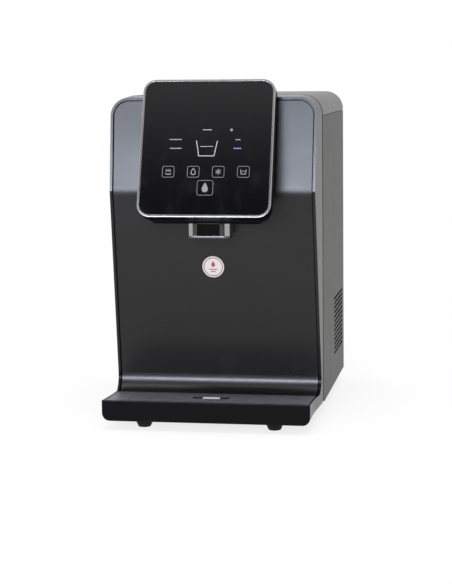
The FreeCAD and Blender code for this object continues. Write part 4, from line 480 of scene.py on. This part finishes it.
def piece_from(bm, name, body, finish, stands_for=(), sharp=40.0, outward=True):
    """Makes a piece of a finished bmesh and lets it ride on its body."""
    if outward:
        bmesh.ops.recalc_face_normals(bm, faces=bm.faces)
    mesh = bpy.data.meshes.new(name)
    bm.to_mesh(mesh)
    bm.free()
    mesh.materials.append(finish_named(finish))
    mesh.shade_smooth()
    mesh.set_sharp_from_angle(angle=math.radians(sharp))
    piece = bpy.data.objects.new(name, mesh)
    bpy.context.scene.collection.objects.link(piece)
    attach(piece, body)
    if stands_for:
        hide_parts(*stands_for)
    return piece


def merged_copy(node):
    """The node's shape with its loose triangles merged into flat faces."""
    bm = bmesh.new()
    bm.from_mesh(NODES[node].data)
    bmesh.ops.remove_doubles(bm, verts=bm.verts, dist=2e-6)
    bmesh.ops.dissolve_limit(bm, angle_limit=math.radians(0.6), verts=bm.verts, edges=bm.edges)
    return bm


def round_edges(bm, radius, segments=2, sharper_than=32.0):
    """Rounds the edges of a shape that are sharper than an angle."""
    limit = math.radians(sharper_than)
    edges = [e for e in bm.edges if e.is_manifold and e.calc_face_angle() > limit]
    bmesh.ops.bevel(
        bm,
        geom=edges,
        offset=radius,
        segments=segments,
        profile=0.5,
        affect="EDGES",
        material=-1,
        clamp_overlap=False,
    )
    bmesh.ops.remove_doubles(bm, verts=bm.verts, dist=1e-6)


def split_at(bm, point, axis):
    """Divides the faces that a plane crosses."""
    everything = bm.verts[:] + bm.edges[:] + bm.faces[:]
    bmesh.ops.bisect_plane(bm, geom=everything, plane_co=point, plane_no=axis)


def scale_about(bm, centre, factors):
    bmesh.ops.translate(bm, vec=-centre, verts=bm.verts)
    bmesh.ops.scale(bm, vec=factors, verts=bm.verts)
    bmesh.ops.translate(bm, vec=centre, verts=bm.verts)


def round_frame_front(bm, radius):
    """Rounds the frame's outer edge more than the rest, which leaves a narrow bright lip."""
    edges = []
    for edge in bm.edges:
        if not edge.is_manifold or edge.calc_face_angle() < math.radians(50):
            continue
        middle = (edge.verts[0].co + edge.verts[1].co) / 2
        outward = Vector((middle.x, 0, max(0.0, middle.z - 0.3)))
        facing = [face.normal.y < -0.6 for face in edge.link_faces]
        leaving = [abs(face.normal.y) < 0.5 and face.normal.dot(outward) > 0 for face in edge.link_faces]
        if any(facing) and any(leaving) and (abs(middle.x) > 0.13 or middle.z > 0.42):
            edges.append(edge)
    bmesh.ops.bevel(
        bm,
        geom=edges,
        offset=radius,
        segments=4,
        profile=0.5,
        affect="EDGES",
        material=-1,
        clamp_overlap=True,
    )


def taper_to_seam(bm, seam, length, depth):
    """Draws the frame in toward its rear seam, which shows there as a shadow line."""
    split_at(bm, (0, seam - length, 0), (0, 1, 0))
    high = max(vert.co.z for vert in bm.verts)
    wide = max(vert.co.x for vert in bm.verts)
    for vert in bm.verts:
        if vert.co.y < seam - 0.1 * MM:
            continue
        side = math.copysign(1, vert.co.x)
        centre = Vector((side * (wide - CASE_CORNER), vert.co.y, high - CASE_CORNER))
        spoke = vert.co - centre
        if spoke.z > 0 and spoke.x * side > 0:
            if spoke.length > CASE_CORNER - 0.5 * MM:
                vert.co -= spoke.normalized() * depth
        elif abs(vert.co.x) > wide - 0.5 * MM:
            vert.co.x -= side * depth
        elif vert.co.z > high - 0.5 * MM:
            vert.co.z -= depth


def weigh_normals(piece):
    """Keeps broad faces flat next to their rounded edges."""
    modifier = piece.modifiers.new("even_shading", "WEIGHTED_NORMAL")
    modifier.keep_sharp = True
    modifier.weight = 60


def rounded_part(node, radius, segments=2, finish=None, bm=None):
    """Copy of a CAD part with its edges rounded, which stands for the part."""
    bm = bm or merged_copy(node)
    round_edges(bm, radius, segments)
    slot = SLOTS[node]
    name = "rounded_" + node
    piece = piece_from(bm, name, body_of(node), finish or slot, (node,), 60.0, outward=False)
    weigh_normals(piece)
    return piece


def paint_faces(piece, finish, wanted):
    """Gives the faces that pass a test another finish."""
    piece.data.materials.append(finish_named(finish))
    for face in piece.data.polygons:
        if wanted(face):
            face.material_index = len(piece.data.materials) - 1


def keep_part(node):
    """Leaves a CAD part as it is, with its finish."""
    slots = NODES[node].data.materials
    slots[0] = finish_named(SLOTS[node])


def head_matrix():
    """From the glass's own frame (x across, y up the slope, z out) to the case's frame."""
    return Matrix.Translation(HEAD_CENTRE) @ Matrix.Rotation(math.pi / 2 - HEAD_TILT, 4, "X")


def label_matrix():
    """From the label's own frame to the case's frame, with its face at z = 0."""
    low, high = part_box("label_disc")
    centre = (low + high) / 2
    outward = Vector((0, -math.cos(FACET_ANGLE), -math.sin(FACET_ANGLE)))
    face = centre + outward * 0.2 * MM
    return Matrix.Translation(face) @ Matrix.Rotation(math.pi / 2 + FACET_ANGLE, 4, "X")


def raise_face(bm, face, height):
    """Pulls a flat face out into a plate, which keeps a face below."""
    lifted = bmesh.ops.extrude_face_region(bm, geom=[face], use_keep_orig=True)
    points = [g for g in lifted["geom"] if isinstance(g, bmesh.types.BMVert)]
    bmesh.ops.translate(bm, vec=(0, 0, height), verts=points)
    return points


def ring_of(bm, face, line, height):
    """Turns a flat face into a raised outline of even width."""
    ring = bmesh.ops.inset_region(bm, faces=[face], thickness=line, use_boundary=True, use_even_offset=True)
    bmesh.ops.delete(bm, geom=[face], context="FACES_ONLY")
    lifted = bmesh.ops.extrude_face_region(bm, geom=ring["faces"], use_keep_orig=True)
    points = [g for g in lifted["geom"] if isinstance(g, bmesh.types.BMVert)]
    bmesh.ops.translate(bm, vec=(0, 0, height), verts=points)


def plate_ring(bm, x, y, width, height, corner, line, low, high):
    """Outline of a rounded plate, in millimetres on the glass."""
    made = bmesh.ops.create_grid(bm, x_segments=1, y_segments=1, size=0.5)
    bmesh.ops.scale(bm, vec=(width, height, 1), verts=made["verts"])
    bmesh.ops.translate(bm, vec=(x, y, low), verts=made["verts"])
    rounded = bmesh.ops.bevel(
        bm,
        geom=made["verts"],
        offset=corner,
        segments=5,
        profile=0.5,
        affect="VERTICES",
        material=-1,
    )
    ring_of(bm, rounded["verts"][0].link_faces[0], line, high - low)


def line_mark(bm, points, width, low, high):
    """Printed line of even width along points on the glass, in millimetres."""
    path = [Vector((x, y, low)) for x, y in points]
    steps = list(zip(path, path[1:]))
    across = []
    for index in range(len(path)):
        near = steps[max(index - 1, 0)], steps[min(index, len(steps) - 1)]
        heading = sum(((b - a).normalized() for a, b in near), Vector()).normalized()
        turn = (near[0][1] - near[0][0]).normalized().dot(heading)
        across.append(Vector((-heading.y, heading.x, 0)) * width / 2 / max(turn, 0.5))
    start = [bm.verts.new(path[0] + across[0]), bm.verts.new(path[0] - across[0])]
    edge = bm.edges.new(start)
    faces = []
    for spot, side in zip(path[1:], across[1:]):
        grown = bmesh.ops.extrude_edge_only(bm, edges=[edge])["geom"]
        ends = [g for g in grown if isinstance(g, bmesh.types.BMVert)]
        faces += [g for g in grown if isinstance(g, bmesh.types.BMFace)]
        left, right = edge.verts
        linked = {left: None, right: None}
        for end in ends:
            for other in end.link_edges:
                mate = other.other_vert(end)
                if mate in linked:
                    linked[mate] = end
        linked[start[0]].co = spot + side
        linked[start[1]].co = spot - side
        start = [linked[start[0]], linked[start[1]]]
        edge = next(e for e in start[0].link_edges if e.other_vert(start[0]) is start[1])
    lifted = bmesh.ops.extrude_face_region(bm, geom=faces, use_keep_orig=True)
    tops = [g for g in lifted["geom"] if isinstance(g, bmesh.types.BMVert)]
    bmesh.ops.translate(bm, vec=(0, 0, high - low), verts=tops)


def drop_outline(radius, tip, steps=24):
    """Closed outline of a water drop about its round part's centre."""
    points = []
    for index in range(steps + 1):
        angle = math.pi / 2 + 2 * math.pi * index / steps
        x = radius * math.cos(angle)
        y = radius * math.sin(angle)
        if y > 0:
            share = y / radius
            x *= 1 - 0.62 * share**1.5
            y = share * tip
        points.append((x, y))
    return points


def drop_plate(bm, x, y, radius, tip, low, high):
    """Solid drop mark."""
    made = bmesh.ops.create_circle(bm, cap_ends=True, radius=radius, segments=28)
    for vert in made["verts"]:
        if vert.co.y > 0:
            share = vert.co.y / radius
            vert.co.x *= 1 - 0.62 * share**1.5
            vert.co.y = share * tip
    bmesh.ops.translate(bm, vec=(x, y, low), verts=made["verts"])
    face = made["verts"][0].link_faces[0]
    raise_face(bm, face, high - low)


def disc_plate(bm, x, y, radius, low, high):
    """Solid round mark, in millimetres."""
    made = bmesh.ops.create_circle(bm, cap_ends=True, radius=radius, segments=24)
    bmesh.ops.translate(bm, vec=(x, y, low), verts=made["verts"])
    raise_face(bm, made["verts"][0].link_faces[0], high - low)


def disc_ring(bm, x, y, radius, line, low, high, segments=48):
    """Printed ring, in millimetres."""
    made = bmesh.ops.create_circle(bm, cap_ends=True, radius=radius, segments=segments)
    bmesh.ops.translate(bm, vec=(x, y, low), verts=made["verts"])
    ring_of(bm, made["verts"][0].link_faces[0], line, high - low)


def settle(bm, matrix):
    """Takes a shape from millimetres in its own frame to metres in the case's frame."""
    bmesh.ops.scale(bm, vec=(MM, MM, MM), verts=bm.verts)
    bmesh.ops.transform(bm, matrix=matrix, verts=bm.verts)


def print_on_glass(bm, name, finish):
    settle(bm, head_matrix())
    piece_from(bm, name, "case", finish)


# Settings


class CasingSettings(bpy.types.PropertyGroup):
    """Colours and edges of the casing."""

    gloss_colour: FloatVectorProperty(
        name="Gloss Colour", description="Colour of the frame and the cover", subtype="COLOR",
        default=(0.003, 0.003, 0.0045), min=0, max=1)
    side_colour: FloatVectorProperty(
        name="Side Colour", description="Colour of the side panels", subtype="COLOR",
        default=(0.016, 0.014, 0.012), min=0, max=1)
    gloss_roughness: FloatProperty(
        name="Gloss Roughness", description="Roughness of the polished mouldings", default=0.2, min=0, max=1)
    panel_colour: FloatVectorProperty(
        name="Panel Colour", description="Colour of the front panel's paint", subtype="COLOR",
        default=(0.0055, 0.0048, 0.0049), min=0, max=1)
    panel_roughness: FloatProperty(
        name="Panel Roughness", description="Roughness of the front panel's paint",
        default=0.29, min=0, max=1)
    edge_radius: FloatProperty(
        name="Edge Radius", description="Rounding of the mouldings' edges", subtype="DISTANCE",
        default=0.0006, min=0.0001, max=0.002)


class HeadSettings(bpy.types.PropertyGroup):
    """Colours and line sizes of the touch head."""

    glass_colour: FloatVectorProperty(
        name="Glass Colour", description="Colour behind the touch glass", subtype="COLOR",
        default=(0.004, 0.004, 0.005), min=0, max=1)
    rim_colour: FloatVectorProperty(
        name="Rim Colour", description="Colour of the bright rim and the spout", subtype="COLOR",
        default=(0.44, 0.43, 0.415), min=0, max=1)
    print_colour: FloatVectorProperty(
        name="Print Colour", description="Colour of the marks on the glass", subtype="COLOR",
        default=(0.5, 0.5, 0.52), min=0, max=1)
    indicator_colour: FloatVectorProperty(
        name="Indicator Colour", description="Colour of the lit indicator", subtype="COLOR",
        default=(0.22, 0.18, 0.8), min=0, max=1)
    line_width: FloatProperty(
        name="Line Width", description="Width of the printed lines", subtype="DISTANCE",
        default=0.0005, min=0.0003, max=0.002)
    key_size: FloatProperty(
        name="Key Size", description="Width of a small touch key", subtype="DISTANCE",
        default=0.0158, min=0.01, max=0.02)


class StageSettings(bpy.types.PropertyGroup):
    """Floor and light."""

    floor_colour: FloatVectorProperty(
        name="Floor Colour", description="Colour of the floor", subtype="COLOR",
        default=(0.9, 0.9, 0.9), min=0, max=1)
    floor_glow: FloatProperty(
        name="Floor Glow", description="Share of plain white in the floor that the camera sees",
        subtype="FACTOR", default=0.8, min=0, max=1)
    backdrop_level: FloatProperty(
        name="Backdrop Level", description="Brightness of the backdrop", default=1.0, min=0, max=1)
    flag_width: FloatProperty(
        name="Flag Width", description="Width of the dark card in front", subtype="DISTANCE",
        default=4.0, min=0)
    flag_height: FloatProperty(
        name="Flag Height", description="Height of the dark card in front", subtype="DISTANCE",
        default=3.5, min=0)
    fill_power: FloatProperty(
        name="Fill Power", description="Power of the soft light in front", subtype="POWER", default=60, min=0)
    window_power: FloatProperty(
        name="Window Power", description="Power of the window that the upper front mirrors", subtype="POWER",
        default=29, min=0)
    strip_power: FloatProperty(
        name="Strip Power", description="Power of the strip that the front's cove mirrors", subtype="POWER",
        default=54, min=0)
    glow_power: FloatProperty(
        name="Glow Power", description="Power of the dim strip below that one", subtype="POWER",
        default=24, min=0)
    near_power: FloatProperty(
        name="Near Power", description="Power of the narrow strip close to the front", subtype="POWER",
        default=5.0, min=0)
    top_power: FloatProperty(
        name="Top Power", description="Power of the softbox overhead", subtype="POWER", default=22, min=0)


# Operators


class DISPENSER_OT_casing(bpy.types.Operator):
    """Round and finish the frame, the panels, the cover and the chassis"""

    bl_idname = "dispenser.casing"
    bl_label = "Casing"

    def execute(self, context):
        radius = context.scene.dispenser_casing.edge_radius
        frame_shape = merged_copy("front_frame")
        low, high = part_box("front_frame")
        taper_to_seam(frame_shape, high.y, FRAME_TAPER, FRAME_TAPER_DEPTH)
        round_frame_front(frame_shape, FRAME_FRONT_RADIUS)
        front = rounded_part("front_frame", radius, bm=frame_shape)
        for vert in front.data.vertices:
            vert.co.y = max(vert.co.y, low.y)
        paint_faces(front, "gloss_lip", self.on_lip)
        rounded_part("head_neck", radius)
        rounded_part("left_side_panel", radius, finish="gloss_side")
        rounded_part("right_side_panel", radius, finish="gloss_side")
        rounded_part("top_cover", radius, finish="gloss_cover")
        panel_shape = merged_copy("front_panel")
        low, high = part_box("front_panel")
        size = high - low
        scale_about(panel_shape, Vector((0, low.y, low.z)), (1 - 1.0 * MM / size.x, 1, 1 - 0.5 * MM / size.z))
        rounded_part("front_panel", radius * 0.6, bm=panel_shape)
        rounded_part("rear_panel", radius * 0.6)
        rounded_part("base_chassis", radius)
        rounded_part("feet", radius)
        return {"FINISHED"}

    def on_lip(self, face):
        """Tells whether a face is on the frame's narrow front lip, above the tray."""
        at_edge = abs(face.center.x) > 0.13 or face.center.z > 0.41
        return face.normal.y < -0.4 and at_edge and face.center.z > 0.09


class DISPENSER_OT_head(bpy.types.Operator):
    """Finish the touch head and print its marks"""

    bl_idname = "dispenser.head"
    bl_label = "Touch Head"

    def execute(self, context):
        rounded_part("touch_glass", 0.3 * MM)
        rim = rounded_part("head_rim", 0.25 * MM)
        outward = head_matrix().to_3x3() @ Vector((0, 0, 1))
        # The rim's faces that don't face out get the darker copy of its chrome, a painted shade on its sides.
        paint_faces(rim, "shaded_rim_side", lambda face: face.normal.dot(outward) < 0.5)
        rounded_part("head_shell", 0.6 * MM, finish="head_gloss")
        for node in ("display_board", "touch_pads", "head_bracket"):
            keep_part(node)
        self.print_marks(context.scene.dispenser_head)
        return {"FINISHED"}

    def print_marks(self, sizes):
        low, high = GLASS_PRINT
        line = sizes.line_width / MM
        key = sizes.key_size / MM
        top = GLASS_HEIGHT / MM / 2
        places = [(x, top - KEY_ROW) for x in KEY_COLUMNS]
        keys = bmesh.new()
        for x, y in places:
            plate_ring(keys, x, y, key, key * 0.95, 2.6, line, low, high)
        plate_ring(keys, 1.0, top - 142.7, 21.0, 20.0, 3.2, line, low, high)
        print_on_glass(keys, "key_outlines", "faint_print")

        signs = bmesh.new()
        self.steam_sign(signs, *places[0], line, low, high)
        self.drop_sign(signs, *places[1], line, low, high)
        self.flake_sign(signs, *places[2], line, low, high)
        self.cup_sign(signs, *places[3], line, low, high)
        print_on_glass(signs, "key_pictograms", "print")

        drop = bmesh.new()
        drop_plate(drop, 0.8, top - 144.6, 4.0, 8.6, low, high)
        disc_plate(drop, 31.9, top - 65.8, 1.9, low, high)
        print_on_glass(drop, "dispense_mark", "grey_print")

        beaker = bmesh.new()
        sides = [(-13.1, top - 80.1), (-9.4, top - 100.4), (10.6, top - 100.4), (14.3, top - 80.1)]
        line_mark(beaker, sides, line * 1.9, low, high)
        line_mark(beaker, [(-7.6, top - 87.8), (8.9, top - 87.8)], line * 1.3, low, high)
        print_on_glass(beaker, "beaker_mark", "print")

        bars = bmesh.new()
        for start, end, down in STATUS_BARS:
            self.bar(bars, start, end, top - down, low, high)
        print_on_glass(bars, "status_bars", "print")

        lit = bmesh.new()
        start, end, down = FILTER_BAR
        self.bar(lit, start, end, top - down, low, high)
        print_on_glass(lit, "filter_indicator", "indicator")

    def bar(self, bm, x0, x1, y, low, high):
        dashes = max(2, round((x1 - x0) / 2.3))
        step = (x1 - x0) / dashes
        for index in range(dashes):
            start = x0 + step * index
            line_mark(bm, [(start, y), (start + step * 0.7, y)], 1.1, low, high)

    def steam_sign(self, bm, x, y, line, low, high):
        for shift in (-2.5, 0.0, 2.5):
            wave = [(x + shift + 0.45 * math.sin(k * 1.6), y - 0.4 + k * 0.75) for k in range(6)]
            line_mark(bm, wave, line, low, high)
        line_mark(bm, [(x - 3.8, y - 2.2), (x - 2.4, y - 3.4), (x + 2.4, y - 3.4), (x + 3.8, y - 2.2)],
                  line * 1.3, low, high)

    def drop_sign(self, bm, x, y, line, low, high):
        loop = [(x + dx, y - 1.0 + dy) for dx, dy in drop_outline(2.9, 5.4)]
        line_mark(bm, loop, line * 1.1, low, high)

    def flake_sign(self, bm, x, y, line, low, high):
        for index in range(6):
            angle = math.pi / 2 + index * math.pi / 3
            along = Vector((math.cos(angle), math.sin(angle)))
            start = along * 0.7
            reach = along * 4.0
            line_mark(bm, [(x + start.x, y + start.y), (x + reach.x, y + reach.y)], line * 1.1, low, high)

    def cup_sign(self, bm, x, y, line, low, high):
        cup = [(x - 3.6, y + 2.8), (x - 2.8, y - 3.0), (x + 2.8, y - 3.0), (x + 3.6, y + 2.8)]
        line_mark(bm, cup, line * 1.1, low, high)
        line_mark(bm, [(x - 1.4, y + 0.8), (x + 1.4, y + 0.8)], line, low, high)


class DISPENSER_OT_spout(bpy.types.Operator):
    """Finish the spout sleeve, its nozzle and its lamp"""

    bl_idname = "dispenser.spout"
    bl_label = "Spout"

    def execute(self, context):
        shape = merged_copy("spout_sleeve")
        for side in (-1, 1):
            split_at(shape, (side * SPOUT_DARK_HALF, 0, 0), (1, 0, 0))
        sleeve = rounded_part("spout_sleeve", 0.3 * MM, finish="spout_chrome", bm=shape)
        # The sleeve's front faces beside its middle get the dull grey instead of chrome, a painted
        # reflection.
        paint_faces(sleeve, "flank_painted_reflection", self.beside_dark)
        lip_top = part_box("spout_sleeve")[0].z + SPOUT_LIP_HEIGHT
        # The lip's front faces get the darker copy of the chrome, painted shade that dims what the lip
        # mirrors.
        paint_faces(sleeve, "shaded_spout_lip", lambda face: face.center.z < lip_top and face.normal.y < 0)
        rounded_part("outlet_nozzle", 0.3 * MM)
        rounded_part("steriliser_lamp", 0.6 * MM, 3)
        return {"FINISHED"}

    def beside_dark(self, face):
        return face.normal.y < -0.99 and abs(face.center.x) > SPOUT_DARK_HALF


class DISPENSER_OT_label(bpy.types.Operator):
    """Print the round label with a plain drop"""

    bl_idname = "dispenser.label"
    bl_label = "Label"

    def execute(self, context):
        keep_part("label_disc")
        marks = bmesh.new()
        low, high = LABEL_PRINT
        disc_ring(marks, 0, 0, 12.9, 1.1, low, high, 64)
        drop_plate(marks, 0, 2.6, 2.6, 5.4, low, high)
        for y, half in ((-3.4, 5.4), (-6.6, 3.6)):
            line_mark(marks, [(-half, y), (0, y), (half, y)], 1.2, low, high)
        settle(marks, label_matrix())
        piece_from(marks, "label_print", "case", "red_print")
        return {"FINISHED"}


class DISPENSER_OT_tray(bpy.types.Operator):
    """Finish the drip tray, its grille and its float"""

    bl_idname = "dispenser.tray"
    bl_label = "Drip Tray"

    def execute(self, context):
        rounded_part("drip_tray", 0.4 * MM)
        grille_shape = merged_copy("tray_grille")
        low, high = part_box("tray_grille")
        size = high - low
        wider = (size.x + 2 * GRILLE_GROWTH) / size.x, (size.y + 2 * GRILLE_GROWTH) / size.y, 1
        scale_about(grille_shape, (low + high) / 2, wider)
        grille = rounded_part("tray_grille", 0.25 * MM, finish="grille_grey", bm=grille_shape)
        # The grille's upright faces, its slot walls and sides, are painted near-black: painted shade in the
        # slots and along its edges.
        paint_faces(grille, "tray_black", lambda face: abs(face.normal.z) < 0.5)
        float_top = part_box("tray_float")[1].z
        raft = rounded_part("tray_float", 0.4 * MM)
        # The float's faces more than 2 mm below its top are painted near-black: painted shade where it sits
        # down in the tray.
        paint_faces(raft, "tray_black", lambda face: face.center.z < float_top - 2 * MM)
        return {"FINISHED"}


class DISPENSER_OT_rear_fittings(bpy.types.Operator):
    """Finish the water ports, the caps, the inlet socket, the switches and the screws"""

    bl_idname = "dispenser.rear_fittings"
    bl_label = "Rear Fittings"

    def execute(self, context):
        for node in ("water_inlet", "drain_outlets", "cold_drain_cap", "hot_drain_cap"):
            rounded_part(node, 0.5 * MM)
        for node in ("power_inlet", "switch_bodies", "heater_switch", "cooling_switch", "rear_panel_screws"):
            rounded_part(node, 0.3 * MM)
        self.inlet_pins()
        return {"FINISHED"}

    def inlet_pins(self):
        """Three flat pins at the back of the appliance inlet."""
        low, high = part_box("power_inlet")
        middle = (low + high) / 2
        pins = bmesh.new()
        for x, z in ((-7.0, -2.5), (0.0, 2.0), (7.0, -2.5)):
            made = bmesh.ops.create_cube(pins, size=1.0)["verts"]
            bmesh.ops.scale(pins, vec=Vector((2.0, 13.0, 4.2)) * MM, verts=made)
            place = Vector((middle.x + x * MM, high.y - 11.5 * MM, middle.z + z * MM))
            bmesh.ops.translate(pins, vec=place, verts=made)
        round_edges(pins, 0.4 * MM)
        piece_from(pins, "inlet_pins", body_of("power_inlet"), "screw_steel")


class DISPENSER_OT_inside(bpy.types.Operator):
    """Finish what stands inside the case"""

    bl_idname = "dispenser.inside"
    bl_label = "Inside Parts"

    def execute(self, context):
        round_ones = (
            "sediment_filter", "carbon_filter", "membrane_filter", "filter_manifold", "cold_tank_lid",
            "cold_tank_foam", "hot_tank_jacket", "hot_tank", "cold_tank", "level_float", "fan_rotor",
            "fan_shroud", "compressor", "outlet_valves", "inlet_valve", "thermostats",
        )
        for node in round_ones:
            rounded_part(node, 0.4 * MM)
        shown = {n for n, node in NODES.items() if not node.hide_render}
        for node in sorted(shown):
            keep_part(node)
        return {"FINISHED"}


class DISPENSER_OT_stage(bpy.types.Operator):
    """Set the floor, the soft light and the camera"""

    bl_idname = "dispenser.stage"
    bl_label = "Stage"

    def execute(self, context):
        stage = context.scene.dispenser_stage
        self.room(stage)
        self.floor(stage)
        self.flag(stage)
        fill = self.softbox("front_fill", (-0.1, -3.0, 1.16), (1.3, 0.92), stage.fill_power, WHITE)
        fill.visible_glossy = False
        mirrored = (
            ("front_window", (-0.45, -3.0, 1.4), (1.7, 0.8), stage.window_power),
            ("low_strip", (-0.45, -3.0, 0.92), (1.7, 0.3), stage.strip_power),
            ("low_glow", (-0.45, -3.0, 0.55), (1.7, 0.42), stage.glow_power),
            ("near_strip", (-0.25, -0.9, 0.3), (1.2, 0.08), stage.near_power),
        )
        for name, place, size, power in mirrored:
            self.softbox(name, place, size, power, COOL).visible_diffuse = False
        self.softbox("overhead", (0.0, -0.5, 2.4), (2.2, 1.6), stage.top_power, WHITE)
        self.camera()
        context.scene.view_settings.view_transform = "Standard"
        return {"FINISHED"}

    def room(self, stage):
        world = bpy.data.worlds.new("studio")
        bpy.context.scene.world = world
        world.use_nodes = True
        recipe = Recipe(world.node_tree)
        world.node_tree.nodes.clear()
        heading = recipe.node("ShaderNodeTexCoord", output="Generated")
        parts = recipe.node("ShaderNodeSeparateXYZ", None, {0: heading}, "Y")
        height = Signal(recipe, parts.socket.node.outputs["Z"])
        rear = recipe.fading(parts, -0.75, 0.1, 0.04, 0.66)
        over = recipe.fading(height, 0.45, 0.78, 0.0, 0.6)
        light = recipe.node("ShaderNodeBackground", None, {"Color": WHITE, "Strength": rear + over})
        white = recipe.node("ShaderNodeBackground", None, {"Color": WHITE, "Strength": stage.backdrop_level})
        both = recipe.node("ShaderNodeMixShader", None, {0: recipe.mirrored_too(), 1: light, 2: white})
        out = world.node_tree.nodes.new("ShaderNodeOutputWorld")
        recipe.feed(out.inputs["Surface"], both)

    def floor(self, stage):
        bm = bmesh.new()
        bmesh.ops.create_circle(bm, cap_ends=True, radius=1.15, segments=96)
        finish = Finish("pale_floor")
        reach = finish.node("ShaderNodeVectorMath", {"operation": "LENGTH"}, {0: finish.place()}, "Value")
        under = finish.node("ShaderNodeNewGeometry", output="Backfacing")
        fade = finish.fading(reach, 0.6, 1.1) * (1.0 - under)
        finish.set(Base_Color=stage.floor_colour[:], Roughness=0.9, Specular_IOR_Level=0.1, Alpha=fade)
        white = finish.node("ShaderNodeEmission", None, {"Color": WHITE, "Strength": stage.backdrop_level})
        lit = Signal(finish, finish.shader.outputs[0])
        clear = finish.node("ShaderNodeBsdfTransparent")
        glow = finish.node("ShaderNodeMixShader", None, {0: fade, 1: clear, 2: white})
        share = finish.mirrored_too() * stage.floor_glow
        both = finish.node("ShaderNodeMixShader", None, {0: share, 1: lit, 2: glow})
        finish.feed(finish.tree.nodes["Material Output"].inputs["Surface"], both)
        self.stage_piece("floor", bm, finish)

    def flag(self, stage):
        """Dark card behind the camera that the polished front mirrors."""
        shift = sunk = 0.3
        bm = bmesh.new()
        bmesh.ops.create_grid(bm, x_segments=1, y_segments=1, size=0.5)
        bmesh.ops.scale(bm, vec=(stage.flag_width, stage.flag_height, 1), verts=bm.verts)
        bmesh.ops.rotate(bm, matrix=Matrix.Rotation(math.pi / 2, 3, "X"), verts=bm.verts)
        bmesh.ops.translate(bm, vec=(-shift, -3.2, stage.flag_height / 2 - sunk), verts=bm.verts)
        finish = Finish("flag_cloth")
        across = finish.node("ShaderNodeSeparateXYZ", None, {0: finish.place()}, "X")
        height = Signal(finish, across.socket.node.outputs["Z"])
        top = stage.flag_height - sunk
        side = stage.flag_width / 2
        fade = finish.fading(height, top - 1.0, top)
        edge = finish.fading(abs(across + shift), side - 1.0, side)
        finish.set(Base_Color=(0.02, 0.02, 0.022), Roughness=0.9, Specular_IOR_Level=0.1, Alpha=fade * edge)
        card = self.stage_piece("front_flag", bm, finish)
        card.visible_camera = False
        card.visible_diffuse = False
        card.visible_shadow = False

    def stage_piece(self, name, bm, finish):
        mesh = bpy.data.meshes.new(name)
        bm.to_mesh(mesh)
        bm.free()
        mesh.materials.append(finish.material)
        piece = bpy.data.objects.new(name, mesh)
        bpy.context.scene.collection.objects.link(piece)
        return piece

    def softbox(self, name, place, size, power, colour):
        """Soft lamp that faces the object."""
        light = bpy.data.lights.new(name, "AREA")
        light.color = colour
        light.shape = "RECTANGLE"
        light.size, light.size_y = size
        light.energy = power
        lamp = bpy.data.objects.new(name, light)
        lamp.location = place
        aim = Vector((0.0, -0.1, 0.25))
        lamp.rotation_euler = (aim - Vector(place)).to_track_quat("-Z", "Y").to_euler()
        lamp.visible_camera = False
        bpy.context.scene.collection.objects.link(lamp)
        return lamp

    def camera(self):
        """Camera at the photograph's viewpoint, in pixels of the photograph."""
        yaw, pitch, roll = 0.161808, 0.103192, -0.0090028
        focal, centre_x, centre_y = 1631.97, 245.90, 234.34
        level = Vector((-math.sin(yaw), math.cos(yaw), 0))
        across = Vector((math.cos(yaw), math.sin(yaw), 0))
        up = Vector((0, 0, 1))
        ahead = level * math.cos(pitch) - up * math.sin(pitch)
        over = up * math.cos(pitch) + level * math.sin(pitch)
        right = across * math.cos(roll) + over * math.sin(roll)
        top = over * math.cos(roll) - across * math.sin(roll)
        data = bpy.data.cameras.new("photo_view")
        data.sensor_width = 36.0
        data.lens = focal * data.sensor_width / PHOTO_HEIGHT
        data.shift_x = (PHOTO_WIDTH / 2 - centre_x) / PHOTO_HEIGHT
        data.shift_y = (centre_y - PHOTO_HEIGHT / 2) / PHOTO_HEIGHT
        camera = bpy.data.objects.new("photo_view", data)
        turn = Matrix((right, top, -ahead)).transposed()
        camera.matrix_world = Matrix.Translation(Vector((387.15, -2225.93, 470.73)) * MM) @ turn.to_4x4()
        bpy.context.scene.collection.objects.link(camera)
        bpy.context.scene.camera = camera


class DISPENSER_PT_panel(bpy.types.Panel):
    """Steps that dress the dispenser"""

    bl_label = "Water Dispenser"
    bl_idname = "DISPENSER_PT_panel"
    bl_space_type = "VIEW_3D"
    bl_region_type = "UI"
    bl_category = "Dispenser"

    def draw(self, context):
        for settings in ("dispenser_casing", "dispenser_head", "dispenser_stage"):
            group = getattr(context.scene, settings)
            for name in group.__annotations__:
                self.layout.prop(group, name)
        for step in STEPS:
            self.layout.operator(step.bl_idname)


STEPS = (
    DISPENSER_OT_casing,
    DISPENSER_OT_head,
    DISPENSER_OT_spout,
    DISPENSER_OT_label,
    DISPENSER_OT_tray,
    DISPENSER_OT_rear_fittings,
    DISPENSER_OT_inside,
    DISPENSER_OT_stage,
)
SETTINGS = {
    "dispenser_casing": CasingSettings,
    "dispenser_head": HeadSettings,
    "dispenser_stage": StageSettings,
}


def register():
    for group in (*SETTINGS.values(), *STEPS, DISPENSER_PT_panel):
        bpy.utils.register_class(group)
    for name, group in SETTINGS.items():
        setattr(bpy.types.Scene, name, PointerProperty(type=group))


def unregister():
    for name in SETTINGS:
        delattr(bpy.types.Scene, name)
    for group in (DISPENSER_PT_panel, *reversed(STEPS), *SETTINGS.values()):
        bpy.utils.unregister_class(group)


def main():
    register()
    for step in STEPS:
        getattr(bpy.ops.dispenser, step.bl_idname.split(".")[1])()


if __name__ == "__main__":
    main()
